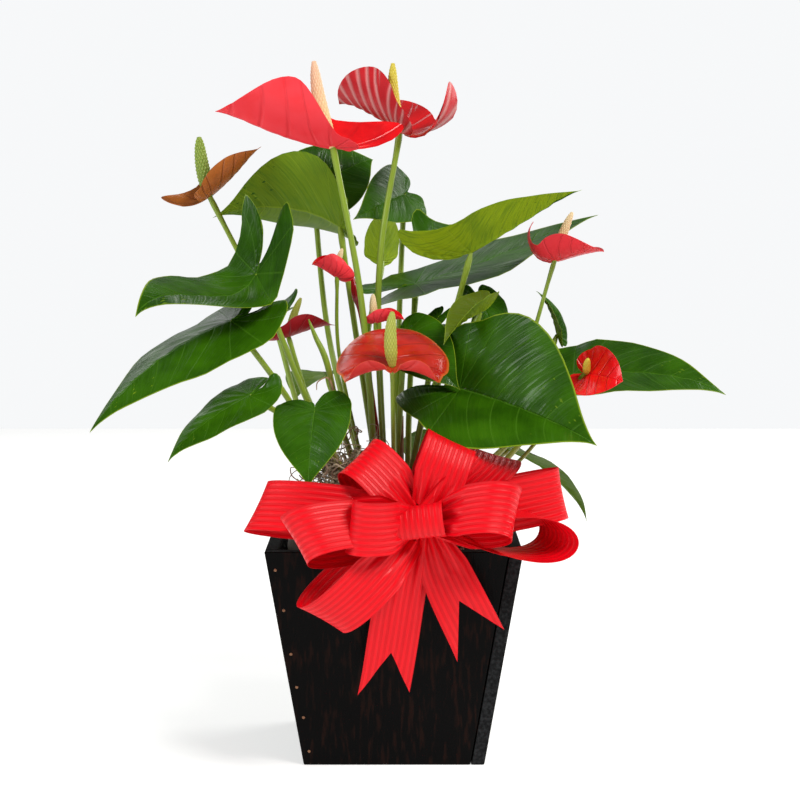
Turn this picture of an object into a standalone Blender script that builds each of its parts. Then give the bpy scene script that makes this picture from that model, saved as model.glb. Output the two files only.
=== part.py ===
"""Potted anthurium: a flowering plant in a tapered wooden planter, with moss and a ribbon bow.

Metres, +Z up. The origin is the middle of the planter's foot, and the bow hangs on the -Y side.
Sizes in the tables below are millimetres and degrees, and MM turns them into metres.
"""

import bmesh
import bpy
import numpy as np
from math import cos, pi, radians, sin, sqrt
from mathutils import Matrix, Vector

MM = 0.001

# Planter: four boards of one shape, each covering the end of the next one.
RIM_WIDTH = 190.0
FOOT_WIDTH = 136.0
PLANTER_HEIGHT = 167.0
BOARD = 10.0
BOARD_EDGE = 1.2
GAP = 0.35
BASE_THICKNESS = 9.0

# Nursery pot inside the planter, and the mix that fills it.
POT_TOP_RADIUS = 72.0
POT_FOOT_RADIUS = 53.0
POT_BOTTOM = BASE_THICKNESS + GAP
POT_TOP = 142.0
POT_WALL = 2.0
POT_LIP = 4.0
DRAIN_RADIUS = 8.0
MIX_TOP = 131.0
ROUND_STEPS = 24

POT_LIP_DEPTH = 6.0
MIX_ROOM = 0.4
MIX_FLAT_RADIUS = 60.0
MIX_EDGE_DROP = 4.0

# Moss: a loose ring on the pot's lip, round the stems, as wide as the boards let it.
MOSS_BOTTOM = 143.5
MOSS_SHOULDER = 163.0
MOSS_TOP = 171.0
MOSS_MOUND = 12.0
MOSS_MOUND_TURN = 205.0
MOSS_HOLE = 47.0
MOSS_ROOM = 13.0
MOSS_CORNER = 1.22
MOSS_STEPS = 28

# Growth: every stem starts on the mix, on a spiral of evenly spread crowns.
CROWN_Z = MIX_TOP + 1.0
COLLAR_Z = 192.0
COLLAR_LEAN = 0.14
STEM_SIDES = 5
STEM_POINTS = 8
BLADE_SIDE_RAYS = 8
BLADE_RINGS = 2
BLADE_THICKNESS = 0.9
SPATHE_THICKNESS = 0.9

# Half outlines, tip first and the notch last, as (along, across) parts of the midrib's length.
LEAF_OUTLINE = (
    (1.00, 0.000), (0.94, 0.022), (0.84, 0.080), (0.70, 0.180), (0.52, 0.285), (0.32, 0.355),
    (0.10, 0.380), (-0.09, 0.355), (-0.22, 0.275), (-0.28, 0.165), (-0.23, 0.070), (-0.12, 0.018),
    (-0.045, 0.000),
)
SPATHE_OUTLINE = (
    (1.00, 0.000), (0.955, 0.045), (0.87, 0.150), (0.73, 0.275), (0.54, 0.370), (0.33, 0.415),
    (0.10, 0.440), (-0.12, 0.415), (-0.28, 0.320), (-0.33, 0.190), (-0.27, 0.080), (-0.16, 0.020),
    (-0.090, 0.000),
)
LOBE_LENGTH = 0.30
# Room between a stalk and the edge of the hole in its spathe.
STALK_GAP = 1.4
# How far along the midrib a taper leaves the width as it is.
TAPER_EVEN = 0.35

# Ribbon.
RIBBON_WIDTH = 38.0
RIBBON_THICKNESS = 0.8
KNOT = Vector((20.0, -118.0, 193.0))
KNOT_RADIUS = 10.0
LOOP_STEPS = 12
TAIL_STEPS = 6
# Share of a loop's length that is left out at each end, inside the knot.
LOOP_TRIM = 0.06


def leaf(name, crown, via, base, tip, **shape):
    """One leaf: petiole from its crown through via to base, and a blade from base to tip.

    bank turns the blade about its length, right side down. arch is how far the midrib bends
    down along its length, droop is more of it at the tip, and dip is a steep start at the base.
    fold and curl lift the halves (left, right), at the midrib and towards the margin. lobes lifts
    the two back lobes and lobe_size lengthens them. belly widens the blade's middle, and taper
    widens its halves towards the tip at the cost of the base.
    """
    entry = dict(width=1.0, bank=0.0, arch=20.0, droop=15.0, fold=(8.0, 8.0), curl=(0.0, 0.0),
                 lobes=(10.0, 10.0), lobe_size=(1.0, 1.0), dip=0.0, belly=0.0, taper=(0.0, 0.0),
                 stem=(2.6, 1.9))
    entry.update(shape)
    entry.update(name=name, crown=crown, via=via, base=base, tip=tip)
    return entry


def bloom(name, crown, via, base, tip, spadix, **shape):
    """One flower: a stalk from its crown through via to base, a spathe, and its spadix."""
    entry = dict(width=1.0, bank=0.0, arch=10.0, droop=20.0, fold=(0.0, 0.0), curl=(60.0, 60.0),
                 lobes=(20.0, 20.0), lobe_size=(1.0, 1.0), dip=0.0, belly=0.3, taper=(0.0, 0.0),
                 stem=(2.8, 2.2), spadix_radius=4.0)
    entry.update(shape)
    entry.update(name=name, crown=crown, via=via, base=base, tip=tip, spadix=spadix)
    return entry


LEAVES = (
    leaf("leaf_left_chair", (-24, -8), (-66, -20, 270), (-104, -28, 368), (-187, -95, 339),
         arch=0, droop=70, dip=75, fold=(5, 5), lobes=(24, 56), lobe_size=(1.8, 1.85), bank=-14,
         width=1.0, taper=(0.6, 0.9)),
    leaf("leaf_left_long", (-29, -16), (-80, -38, 274), (-122, -52, 334), (-220, -95, 254),
         arch=35, droop=0, bank=4, fold=(-30, 6), lobes=(30, 70), width=0.85),
    leaf("leaf_left_low", (-23, -24), (-66, -58, 250), (-106, -80, 281), (-163, -110, 235),
         fold=(-25, 12), lobes=(60, 10), width=0.8),
    leaf("leaf_front_heart", (-10, -30), (-40, -60, 225), (-58, -85, 270), (-62, -112, 217),
         arch=25, droop=0, width=1.3, lobes=(0, 10), lobe_size=(1.0, 0.5), fold=(12, 5)),
    leaf("leaf_upper_left", (-8, 11), (-30, 19, 320), (-42, 20, 403), (-144, 60, 408),
         bank=45, arch=60, curl=(45, 30), lobes=(20, 20), lobe_size=(0.4, 0.3), width=0.66, belly=0.9),
    leaf("leaf_top_back", (-16, 20), (-53, 88, 310), (-66, 96, 432), (-18, 136, 456),
         bank=50, arch=30, width=1.3),
    leaf("leaf_top_centre", (0, 27), (4, 124, 330), (8, 76, 428), (-32, 20, 408),
         bank=-60, arch=30, lobes=(20, 20), width=0.95, lobe_size=(0.8, 0.9)),
    leaf("leaf_back_v", (-8, 34), (-24, 100, 290), (-10, 150, 372), (-8, 122, 414),
         fold=(50, 50), arch=20, width=1.2, lobe_size=(0.5, 0.5)),
    leaf("leaf_upper_right", (14, -3), (38, 9, 300), (58, -25, 384), (141, -35, 429),
         arch=-5, fold=(40, 42), curl=(10, 5), lobes=(130, 75), lobe_size=(2.8, 2.5)),
    leaf("leaf_right_broad", (10, 12), (12, 34, 270), (17, 50, 357), (164, 80, 411),
         bank=5, arch=-15, fold=(2, 0), lobes=(0, -10)),
    leaf("leaf_right_inner", (18, 15), (46, 22, 270), (67, 22, 346), (79, -2, 302),
         arch=40, lobes=(20, 20), width=0.9),
    leaf("leaf_young_olive", (10, -14), (36, 2, 268), (66, -13, 338), (37, -50, 316),
         fold=(50, 50), width=0.9, lobe_size=(1.6, 1.6), lobes=(30, 30)),
    leaf("leaf_front_centre", (4, -6), (4, -6, 250), (8, -6, 319), (50, -38, 280),
         arch=30, droop=0, width=1.0, bank=45, lobes=(0, 10), lobe_size=(0.7, 0.8), belly=0.1),
    leaf("leaf_front_large", (20, -12), (36, -22, 220), (50, -30, 281), (149, -85, 244),
         bank=50, arch=25, fold=(30, 26), lobes=(0, 0), width=1.15, lobe_size=(1.0, 1.2), belly=0.4),
    leaf("leaf_right_far", (29, -2), (86, 2, 222), (139, 10, 288), (254, -20, 277),
         bank=18, arch=25, fold=(10, 0), lobes=(40, 10)),
    leaf("leaf_inner_dark", (8, 2), (24, 6, 270), (34, 10, 332), (10, -6, 300),
         arch=20, width=0.9),
    leaf("leaf_left_back", (-24, 12), (-70, 50, 240), (-98, 78, 330), (-154, 90, 301),
         arch=20, lobes=(20, 60), lobe_size=(1.2, 1.6), bank=-15),
    leaf("leaf_right_back", (22, 7), (52, 34, 260), (76, 48, 329), (126, 46, 306),
         bank=12, arch=10),
    leaf("leaf_small_folded", (31, 6), (98, 34, 242), (130, 58, 316), (114, 64, 351),
         fold=(35, 35), width=0.7),
    leaf("leaf_low_right", (22, 24), (56, 54, 200), (92, 70, 222), (156, 88, 160),
         arch=40),
    leaf("leaf_low_back", (12, 24), (26, 62, 194), (36, 90, 226), (30, 142, 174),
         arch=40),
    leaf("leaf_back_middle", (8, 32), (28, 84, 262), (56, 100, 316), (104, 150, 282),
         arch=40),
    leaf("leaf_back_left", (-17, 30), (-38, 70, 225), (-56, 112, 280), (-86, 168, 252),
         arch=40),
)

# Girth of a spadix along it, in parts of its length and of its radius.
SPADIX_PROFILE = ((0.22, 0.7), (0.5, 1.0), (0.8, 0.88), (0.95, 0.6), (1.0, 0.25))

BLOOMS = (
    bloom("bloom_tall_left", (-12, -14), (-24, -20, 340), (-46, -30, 462), (-131, -60, 488),
          (-14, 5, 65), fold=(25, 40), curl=(42, 20), lobes=(0, 30), lobe_size=(0.6, 2.1),
          arch=-20, belly=0.5, width=0.76, taper=(1.5, 0.0), spadix_radius=5.4),
    bloom("bloom_tall_right", (-6, -2), (-12, 6, 360), (4, 26, 476), (-44, 76, 499),
          (-5, 5, 53), fold=(30, 6), curl=(60, 15), lobes=(30, 125), lobe_size=(1.0, 3.0),
          width=1.12, taper=(0.5, 0.0), spadix_radius=4.6),
    bloom("bloom_faded", (-31, -3), (-82, 31, 301), (-143, 22, 426), (-104, 32, 465),
          (-8, 0, 46), bank=-5, curl=(110, 110), width=0.75, stem=(2.4, 1.9), arch=-20,
          spadix_radius=5.2,
          lobes=(60, 60), lobe_size=(2.2, 0.8)),
    bloom("bloom_right_small", (26, -9), (92, -2, 280), (124, 0, 377), (158, -30, 384),
          (13, 5, 37), fold=(-8, 15), curl=(30, 40), stem=(2.0, 1.5), spadix_radius=3.7,
          width=1.05, lobes=(40, 140), lobe_size=(1.0, 3.4)),
    bloom("bloom_right_front", (25, -18), (96, -26, 226), (143, -60, 295), (167, -90, 292),
          (0, -12, 12), bank=60, curl=(30, 30), stem=(1.8, 1.4), spadix_radius=2.8,
          width=1.1, lobes=(40, 40), lobe_size=(1.0, 1.1)),
    bloom("bloom_front", (2, -26), (0, -62, 235), (-1, -90, 303), (-1, -26, 327),
          (0, -4, 40), lobes=(95, 95), curl=(-28, -28), width=1.25, arch=20, fold=(4, 4),
          spadix_radius=4.6, stem=(2.0, 1.8)),
    bloom("bloom_left_dark", (-23, 1), (-56, -2, 240), (-82, 8, 318), (-46, 12, 326),
          (10, 0, 30), curl=(20, 50), stem=(2.0, 1.6), spadix_radius=3.0,
          width=1.2, lobe_size=(1.6, 1.6)),
    bloom("bloom_left_small", (-16, 4), (-42, 4, 300), (-45, 6, 364), (-63, -4, 374),
          (5, 4, 22), fold=(20, 0), curl=(60, 60), stem=(1.8, 1.3), spadix_radius=2.6,
          width=1.5, lobe_size=(1.8, 1.8)),
    bloom("bloom_inner_small", (-5, -9), (-10, -12, 250), (-14, -16, 330), (8, -24, 333),
          (-2, 0, 22), stem=(1.8, 1.3), spadix_radius=3.0, fold=(15, 15)),
)

# Rolled shoots: a young leaf still in its sheath, and a bud that has not opened.
SHOOTS = (
    ("young_spear", ((-16, -21), (-40, -22, 250), (-51, -22, 299), (-60, -20, 320), (-65, -20, 333)),
     (2.6, 2.6, 2.2, 2.4, 1.8, 0.5)),
    ("flower_bud", ((-2, 6), (-14, 10, 250), (-25, 10, 330), (-29, 10, 350), (-33, 10, 366)),
     (2.0, 2.0, 1.7, 1.8, 4.2, 0.6)),
)
SHOOT_POINTS = 12

# Ribbon loops: the middle of the far fold, the direction across the ribbon there, and the opening.
LOOPS = (
    ((-100, -105, 202), (-0.42, -0.30, -0.86), 26),
    ((-70, -150, 185), (0.50, -0.40, -0.77), 32),
    ((-29, -158, 195), (-0.13, 0.0, -0.99), 26),
    ((-52, -145, 127), (0.78, 0.32, -0.52), 34),
    ((-28, -100, 237), (0.60, 0.45, 0.55), 30),
    ((42, -100, 250), (0.87, 0.0, -0.42), 26),
    ((73, -80, 238), (0.80, 0.50, -0.30), 26),
    ((86, -145, 204), (-0.20, -0.40, -0.90), 34),
    ((124, -88, 210), (0.20, 0.0, -0.98), 24),
    ((119, -115, 181), (0.55, -0.80, -0.10), 32),
    ((16, -146, 197), (0.97, -0.10, 0.14), 25),
)

# Ribbon tails: three points of the middle line, the half-width vector at each, and the notch.
TAILS = (
    ("tail_left", ((20, -122, 190), (7, -124, 150), (-2, -113, 97)),
     ((6, 0, 3), (18, 2, 5), (19, 0, 1)), 34.0),
    ("tail_right", ((24, -122, 190), (36, -122, 160), (47, -119, 136)),
     ((6, 0, 4), (17, 2, 6), (17, 0, 12)), 40.0),
)

# Wire hook that holds the bow on the rim, from the back of the knot to beside the pot.
WIRE_POINTS = (
    (20, -108.8, 193), (20, -102, 187), (20, -94, 173.5), (20, -85.5, 171), (20, -82.8, 163),
    (20, -79.8, 143), (20, -75.8, 118),
)
WIRE_RADIUS = 0.7
WIRE_SIDES = 6


def new_object(name, mesh, collection, paint):
    """Puts a mesh in the collection as one object with one material."""
    thing = bpy.data.objects.new(name, mesh)
    collection.objects.link(thing)
    mesh.materials.append(paint)
    return thing


def paint_of(name, colour, roughness, metallic=0.0):
    """A Principled material."""
    paint = bpy.data.materials.new(name)
    paint.use_nodes = True
    shader = paint.node_tree.nodes["Principled BSDF"]
    shader.inputs["Base Color"].default_value = (*colour, 1.0)
    shader.inputs["Roughness"].default_value = roughness
    shader.inputs["Metallic"].default_value = metallic
    return paint


def spline_point(points, part):
    """The point at part (0 to 1) of a smooth curve through all of the points."""
    last = len(points) - 1
    place = min(max(part, 0.0), 1.0) * last
    first = min(int(place), last - 1)
    f = place - first
    p1, p2 = points[first], points[first + 1]
    p0 = points[first - 1] if first > 0 else 2 * p1 - p2
    p3 = points[first + 2] if first + 2 <= last else 2 * p2 - p1
    return 0.5 * (2 * p1 + (p2 - p0) * f + (2 * p0 - 5 * p1 + 4 * p2 - p3) * f * f
                  + (3 * p1 - p0 - 3 * p2 + p3) * f * f * f)


def bent_offset(length, fold, curl):
    """How far a strip of this length goes sideways and up, when its slope turns from fold to fold + curl."""
    if abs(curl) < 1e-4:
        return length * cos(fold), length * sin(fold)
    return (length * (sin(fold + curl) - sin(fold)) / curl,
            length * (cos(fold) - cos(fold + curl)) / curl)


class Blade:
    """A heart-shaped blade, bent from its flat outline onto its midrib."""

    STEPS = 40

    def __init__(self, entry, outline):
        self.base = np.array(entry["base"], float)
        reach = np.array(entry["tip"], float) - self.base
        self.length = np.linalg.norm(reach)
        self.forward = reach / self.length
        up = np.array((0.0, 0.0, 1.0)) - self.forward[2] * self.forward
        up /= np.linalg.norm(up)
        right = np.cross(self.forward, up)
        bank = radians(entry["bank"])
        self.up = up * cos(bank) + right * sin(bank)
        self.right = np.cross(self.forward, self.up)
        self.outline = [np.array(point, float) for point in outline]
        self.width = entry["width"]
        self.fold = [radians(angle) for angle in entry["fold"]]
        self.curl = [radians(angle) for angle in entry["curl"]]
        self.lobes = [radians(angle) for angle in entry["lobes"]]
        self.lobe_size = entry["lobe_size"]
        self.belly = entry["belly"]
        self.taper = entry["taper"]
        self.lay_midrib(radians(entry["arch"]), radians(entry["droop"]), radians(entry["dip"]))

    def lay_midrib(self, arch, droop, dip):
        """The midrib's points and headings in its own upright plane, scaled to reach the tip."""
        heading = []
        for step in range(self.STEPS + 1):
            s = step / self.STEPS
            steep = dip * max(0.0, 1.0 - s / 0.35) ** 1.5
            heading.append(arch * (0.5 - s) - droop * max(0.0, (s - 0.6) / 0.4) ** 2 - steep)
        x, z = [0.0], [0.0]
        for step in range(self.STEPS):
            middle = 0.5 * (heading[step] + heading[step + 1])
            x.append(x[-1] + cos(middle) / self.STEPS)
            z.append(z[-1] + sin(middle) / self.STEPS)
        tilt = np.arctan2(z[-1], x[-1])
        self.scale = self.length / np.hypot(x[-1], z[-1])
        self.heading = np.array(heading) - tilt
        self.rib_x = self.scale * (np.array(x) * cos(tilt) + np.array(z) * sin(tilt))
        self.rib_z = self.scale * (np.array(z) * cos(tilt) - np.array(x) * sin(tilt))

    def rib_at(self, s, lift):
        """Place (x, z) and heading of the midrib at s parts of its length, behind the base below 0."""
        if s >= 0.0:
            steps = np.arange(self.STEPS + 1) / self.STEPS
            return (np.interp(s, steps, self.rib_x), np.interp(s, steps, self.rib_z),
                    np.interp(s, steps, self.heading))
        back, rise = bent_offset(-s * self.scale, 0.0, lift)
        start = self.heading[0]
        x = -back * cos(start) - rise * sin(start)
        z = -back * sin(start) + rise * cos(start)
        return x, z, start - lift

    def point(self, s, t):
        """The place of the flat outline's point (s along, t across, right side above 0)."""
        side = 1 if t >= 0.0 else 0
        blend = min(1.0, abs(t) / 0.06)
        lift = self.lobes[side] * blend * max(0.0, -s) / LOBE_LENGTH
        if s < 0.0:
            s *= 1.0 + (self.lobe_size[side] - 1.0) * blend
        x, z, heading = self.rib_at(s, lift)
        wide = 1.0 + 4.0 * self.belly * max(0.0, s) * (1.0 - s)
        wide *= 1.0 + self.taper[side] * (max(0.0, s) - TAPER_EVEN)
        span = abs(t) * self.width * wide
        curl = self.curl[side] * span / 0.38
        out, rise = bent_offset(span * self.scale, self.fold[side], curl)
        out = out if side else -out
        x -= rise * sin(heading)
        z += rise * cos(heading)
        return self.base + x * self.forward + z * self.up + out * self.right

    def normal(self):
        """The upward normal where the stalk meets the blade."""
        start = self.heading[0]
        return -sin(start) * self.forward + cos(start) * self.up

    def sheet(self, rays, rings, hole):
        """The blade as an open sheet: rays from the base to the outline, in rings, round a hole if any."""
        mesh = bmesh.new()
        rim = [spline_point(self.outline, ray / rays) for ray in range(rays + 1)]
        rim += [point * (1, -1) for point in rim[-2:0:-1]]
        hub = hole / self.scale
        slim = [self.width * (1.0 - TAPER_EVEN * taper) for taper in self.taper]
        rim = [edge * max(1.0, (hub + 0.04) / max(np.hypot(*edge), 1e-6)) if hole else edge for edge in rim]
        loops = []
        for ring in range(0 if hole else 1, rings + 1):
            part = (ring / rings) ** 0.85
            loop = []
            for edge in rim:
                near = edge * hub / max(np.hypot(*edge), 1e-6) if hole else edge * 0.0
                near[1] /= slim[1 if edge[1] >= 0.0 else 0]
                s, t = near + (edge - near) * part
                loop.append(mesh.verts.new(self.point(s, t) * MM))
            loops.append(loop)
        count = len(rim)
        if not hole:
            hub_point = mesh.verts.new(self.point(0.0, 0.0) * MM)
            for k in range(count):
                mesh.faces.new((hub_point, loops[0][(k + 1) % count], loops[0][k]))
        for inner, outer in zip(loops, loops[1:]):
            for k in range(count):
                after = (k + 1) % count
                mesh.faces.new((inner[k], inner[after], outer[after], outer[k]))
        bmesh.ops.triangulate(mesh, faces=mesh.faces)
        return mesh


def thickened(name, sheet, thickness):
    """A closed mesh of this thickness on both sides of an open sheet."""
    sheet.normal_update()
    half = 0.5 * thickness * MM
    solid = bmesh.new()
    top = [solid.verts.new(v.co + v.normal * half) for v in sheet.verts]
    bottom = [solid.verts.new(v.co - v.normal * half) for v in sheet.verts]
    sheet.verts.index_update()
    for face in sheet.faces:
        corners = [v.index for v in face.verts]
        solid.faces.new([top[k] for k in corners])
        solid.faces.new([bottom[k] for k in reversed(corners)])
    for edge in sheet.edges:
        if len(edge.link_faces) == 1:
            loop = edge.link_loops[0]
            a, b = loop.vert.index, loop.link_loop_next.vert.index
            solid.faces.new((top[b], top[a], bottom[a], bottom[b]))
    bmesh.ops.triangulate(solid, faces=solid.faces)
    bmesh.ops.recalc_face_normals(solid, faces=solid.faces)
    mesh = bpy.data.meshes.new(name)
    solid.to_mesh(mesh)
    solid.free()
    sheet.free()
    return mesh


def tube(name, points, radii, sides):
    """A closed round tube along the points, with a radius at each: a loft of rings and two end fans."""
    solid = bmesh.new()
    points = [Vector(point) * MM for point in points]
    rings = []
    across = Vector((1.0, 0.0, 0.0))
    for k, point in enumerate(points):
        before = points[max(k - 1, 0)]
        after = points[min(k + 1, len(points) - 1)]
        ahead = (after - before).normalized()
        across = (across - ahead * across.dot(ahead)).normalized()
        other = ahead.cross(across)
        ring = []
        for side in range(sides):
            turn = 2 * pi * side / sides
            ring.append(solid.verts.new(point + (across * cos(turn) + other * sin(turn)) * radii[k] * MM))
        rings.append(ring)
    for low, high in zip(rings, rings[1:]):
        for k in range(sides):
            after = (k + 1) % sides
            solid.faces.new((low[k], low[after], high[after], high[k]))
    solid.faces.new(list(reversed(rings[0])))
    solid.faces.new(rings[-1])
    bmesh.ops.triangulate(solid, faces=solid.faces)
    mesh = bpy.data.meshes.new(name)
    solid.to_mesh(mesh)
    solid.free()
    return mesh


def stem_path(crown, points, count):
    """Points of a stem from its crown on the mix, upright through the moss, then through the points."""
    start = np.array((*crown, CROWN_Z), float)
    spots = [np.array(point, float) for point in points]
    collar = start + (spots[0] - start) * COLLAR_LEAN
    collar[2] = min(COLLAR_Z, 0.5 * (CROWN_Z + spots[0][2]))
    spots = [start, collar] + spots
    return [spline_point(spots, k / count) for k in range(count + 1)]


def make_leaf(entry, collection, cutters, paint):
    """A leaf: its blade with its petiole joined on."""
    blade = Blade(entry, LEAF_OUTLINE)
    body = thickened(entry["name"], blade.sheet(BLADE_SIDE_RAYS, BLADE_RINGS, 0.0), BLADE_THICKNESS)
    thing = new_object(entry["name"], body, collection, paint)
    path = stem_path(entry["crown"], (entry["via"], entry["base"]), STEM_POINTS)
    path[-1] = path[-1] + blade.normal() * BLADE_THICKNESS
    thick, thin = entry["stem"]
    radii = [thick + (thin - thick) * k / STEM_POINTS for k in range(STEM_POINTS + 1)]
    cutter = new_object(entry["name"] + "_petiole", tube(entry["name"] + "_petiole", path, radii, STEM_SIDES),
                        cutters, paint)
    hide(cutter)
    join(thing, cutter, "MANIFOLD")


def hide(cutter):
    """Leaves a helper out of the model."""
    cutter.hide_render = True
    cutter.display_type = "WIRE"


def join(thing, cutter, solver="EXACT"):
    """Joins a helper's solid to a thing. A folded blade touches itself, which needs the MANIFOLD solver."""
    union = thing.modifiers.new("join_" + cutter.name, "BOOLEAN")
    union.operation = "UNION"
    union.object = cutter
    union.solver = solver


def make_bloom(entry, collection, stalk_paint, spathe_paint):
    """A flower: stalk and spadix as one axis, and the spathe round it."""
    blade = Blade(entry, SPATHE_OUTLINE)
    thick, thin = entry["stem"]
    hole = thin + STALK_GAP
    sheet = blade.sheet(BLADE_SIDE_RAYS, BLADE_RINGS, hole)
    new_object(entry["name"] + "_spathe", thickened(entry["name"] + "_spathe", sheet, SPATHE_THICKNESS),
               collection, spathe_paint)
    path = stem_path(entry["crown"], (entry["via"], entry["base"]), STEM_POINTS)
    radii = [thick + (thin - thick) * k / STEM_POINTS for k in range(STEM_POINTS + 1)]
    base = np.array(entry["base"], float)
    axis = np.array(entry["spadix"], float)
    full = entry["spadix_radius"]
    path[-1] = base - 2.0 * blade.normal()
    path.append(base + 2.0 * blade.normal())
    radii.append(thin)
    for part, share in SPADIX_PROFILE:
        path.append(base + axis * part)
        radii.append(full * share)
    new_object(entry["name"] + "_stalk", tube(entry["name"] + "_stalk", path, radii, STEM_SIDES),
               collection, stalk_paint)


def make_shoot(name, points, radii, collection, paint):
    """A rolled shoot: one smooth tapering rod through its points."""
    path = stem_path(points[0], points[1:], SHOOT_POINTS)
    girths = [spline_point(radii, k / SHOOT_POINTS) for k in range(SHOOT_POINTS + 1)]
    new_object(name, tube(name, path, girths, STEM_SIDES), collection, paint)


def half_width(z):
    """Half of the planter's outer width at this height."""
    return 0.5 * (FOOT_WIDTH + (RIM_WIDTH - FOOT_WIDTH) * z / PLANTER_HEIGHT)


def make_board(name, quarter, collection, paint):
    """One planter board: a box whose corners lie on the planter's sloping faces."""
    slope = 0.5 * (RIM_WIDTH - FOOT_WIDTH) / PLANTER_HEIGHT
    wall = BOARD * sqrt(1.0 + slope * slope)
    solid = bmesh.new()
    bmesh.ops.create_cube(solid, size=1.0)
    for corner in solid.verts:
        z = PLANTER_HEIGHT if corner.co.z > 0 else 0.0
        half = half_width(z)
        x = half - wall - GAP if corner.co.x > 0 else -half
        y = wall - half if corner.co.y > 0 else -half
        corner.co = Vector((x, y, z)) * MM
    turn = Matrix.Rotation(quarter * pi / 2, 3, "Z")
    bmesh.ops.rotate(solid, verts=solid.verts, cent=(0, 0, 0), matrix=turn)
    mesh = bpy.data.meshes.new(name)
    solid.to_mesh(mesh)
    solid.free()
    board = new_object(name, mesh, collection, paint)
    edge = board.modifiers.new("soft_edge", "BEVEL")
    edge.width = BOARD_EDGE * MM
    edge.segments = 1
    return board


def make_base(collection, paint):
    """The planter's bottom board, flush with the foot, between the four sides."""
    slope = 0.5 * (RIM_WIDTH - FOOT_WIDTH) / PLANTER_HEIGHT
    wall = BOARD * sqrt(1.0 + slope * slope) + GAP
    solid = bmesh.new()
    bmesh.ops.create_cube(solid, size=1.0)
    for corner in solid.verts:
        z = BASE_THICKNESS if corner.co.z > 0 else 0.0
        half = half_width(z) - wall
        corner.co = Vector((half if corner.co.x > 0 else -half, half if corner.co.y > 0 else -half, z)) * MM
    mesh = bpy.data.meshes.new("planter_base")
    solid.to_mesh(mesh)
    solid.free()
    return new_object("planter_base", mesh, collection, paint)


def turned(name, profile, collection, paint, closed=True):
    """A turned shape: the profile (radius, height) spun round the axis, outer side first, top to bottom."""
    mesh = bpy.data.meshes.new(name)
    count = len(profile)
    edges = [(k, (k + 1) % count) for k in range(count if closed else count - 1)]
    mesh.from_pydata([(r * MM, 0.0, z * MM) for r, z in profile], edges, [])
    thing = new_object(name, mesh, collection, paint)
    spin = thing.modifiers.new("spin", "SCREW")
    spin.steps = ROUND_STEPS
    spin.render_steps = ROUND_STEPS
    spin.use_merge_vertices = True
    spin.merge_threshold = 0.00002
    return thing


def make_grow_pot(collection, paint):
    """The nursery pot: a tapered wall with a lip, and a drain hole in its floor."""
    taper = (POT_TOP_RADIUS - POT_FOOT_RADIUS) / (POT_TOP - POT_BOTTOM)
    floor = POT_BOTTOM + POT_WALL
    profile = (
        (POT_TOP_RADIUS + POT_LIP, POT_TOP),
        (POT_TOP_RADIUS + POT_LIP, POT_TOP - POT_LIP_DEPTH),
        (POT_TOP_RADIUS - POT_LIP_DEPTH * taper, POT_TOP - POT_LIP_DEPTH),
        (POT_FOOT_RADIUS, POT_BOTTOM),
        (DRAIN_RADIUS, POT_BOTTOM),
        (DRAIN_RADIUS, floor),
        (POT_FOOT_RADIUS - POT_WALL, floor),
        (POT_TOP_RADIUS - POT_WALL, POT_TOP),
    )
    return turned("grow_pot", profile, collection, paint)


def make_mix(collection, paint):
    """The potting mix that fills the pot, crowned in the middle."""
    taper = (POT_TOP_RADIUS - POT_FOOT_RADIUS) / (POT_TOP - POT_BOTTOM)
    floor = POT_BOTTOM + POT_WALL + MIX_ROOM
    foot = POT_FOOT_RADIUS - POT_WALL - 2.0 * MIX_ROOM
    profile = (
        (0.0, MIX_TOP),
        (MIX_FLAT_RADIUS, MIX_TOP - 1.0),
        (foot + taper * (MIX_TOP - floor), MIX_TOP - MIX_EDGE_DROP),
        (foot, floor),
        (0.0, floor),
    )
    return turned("potting_mix", profile, collection, paint, closed=False)


def moss_height(turn):
    """How high the moss stands, round the planter: a mound on the left, low behind the bow."""
    left = max(0.0, cos(turn - radians(MOSS_MOUND_TURN))) ** 3
    return MOSS_TOP + MOSS_MOUND * left + 3.0 * sin(3 * turn) + 2.0 * sin(7 * turn + 1.0)


def moss_reach(turn, z):
    """How far out the moss goes at this height: a square with cut corners, inside the boards."""
    square = max(abs(cos(turn)), abs(sin(turn)))
    return (half_width(z) - MOSS_ROOM) * min(1.0, MOSS_CORNER * square) / square


def make_moss(collection, paint):
    """Moss: a ring from the stems out to the boards, its outer edge squared to fit them."""
    solid = bmesh.new()
    rings = []
    for k in range(MOSS_STEPS):
        turn = 2 * pi * k / MOSS_STEPS
        height = moss_height(turn)
        rim = moss_reach(turn, MOSS_SHOULDER)
        profile = (
            (MOSS_HOLE, MOSS_BOTTOM),
            (moss_reach(turn, MOSS_BOTTOM), MOSS_BOTTOM),
            (rim, MOSS_SHOULDER),
            (rim * 0.94, 0.45 * MOSS_SHOULDER + 0.55 * height),
            (rim * 0.78, height),
            (MOSS_HOLE + 8.0, height - 3.0),
            (MOSS_HOLE, height - 12.0),
        )
        rings.append([solid.verts.new(Vector((r * cos(turn), r * sin(turn), z)) * MM) for r, z in profile])
    for k in range(MOSS_STEPS):
        here, there = rings[k], rings[(k + 1) % MOSS_STEPS]
        for j in range(len(here)):
            after = (j + 1) % len(here)
            solid.faces.new((here[j], there[j], there[after], here[after]))
    bmesh.ops.triangulate(solid, faces=solid.faces)
    bmesh.ops.recalc_face_normals(solid, faces=solid.faces)
    mesh = bpy.data.meshes.new("moss")
    solid.to_mesh(mesh)
    solid.free()
    return new_object("moss", mesh, collection, paint)


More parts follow.
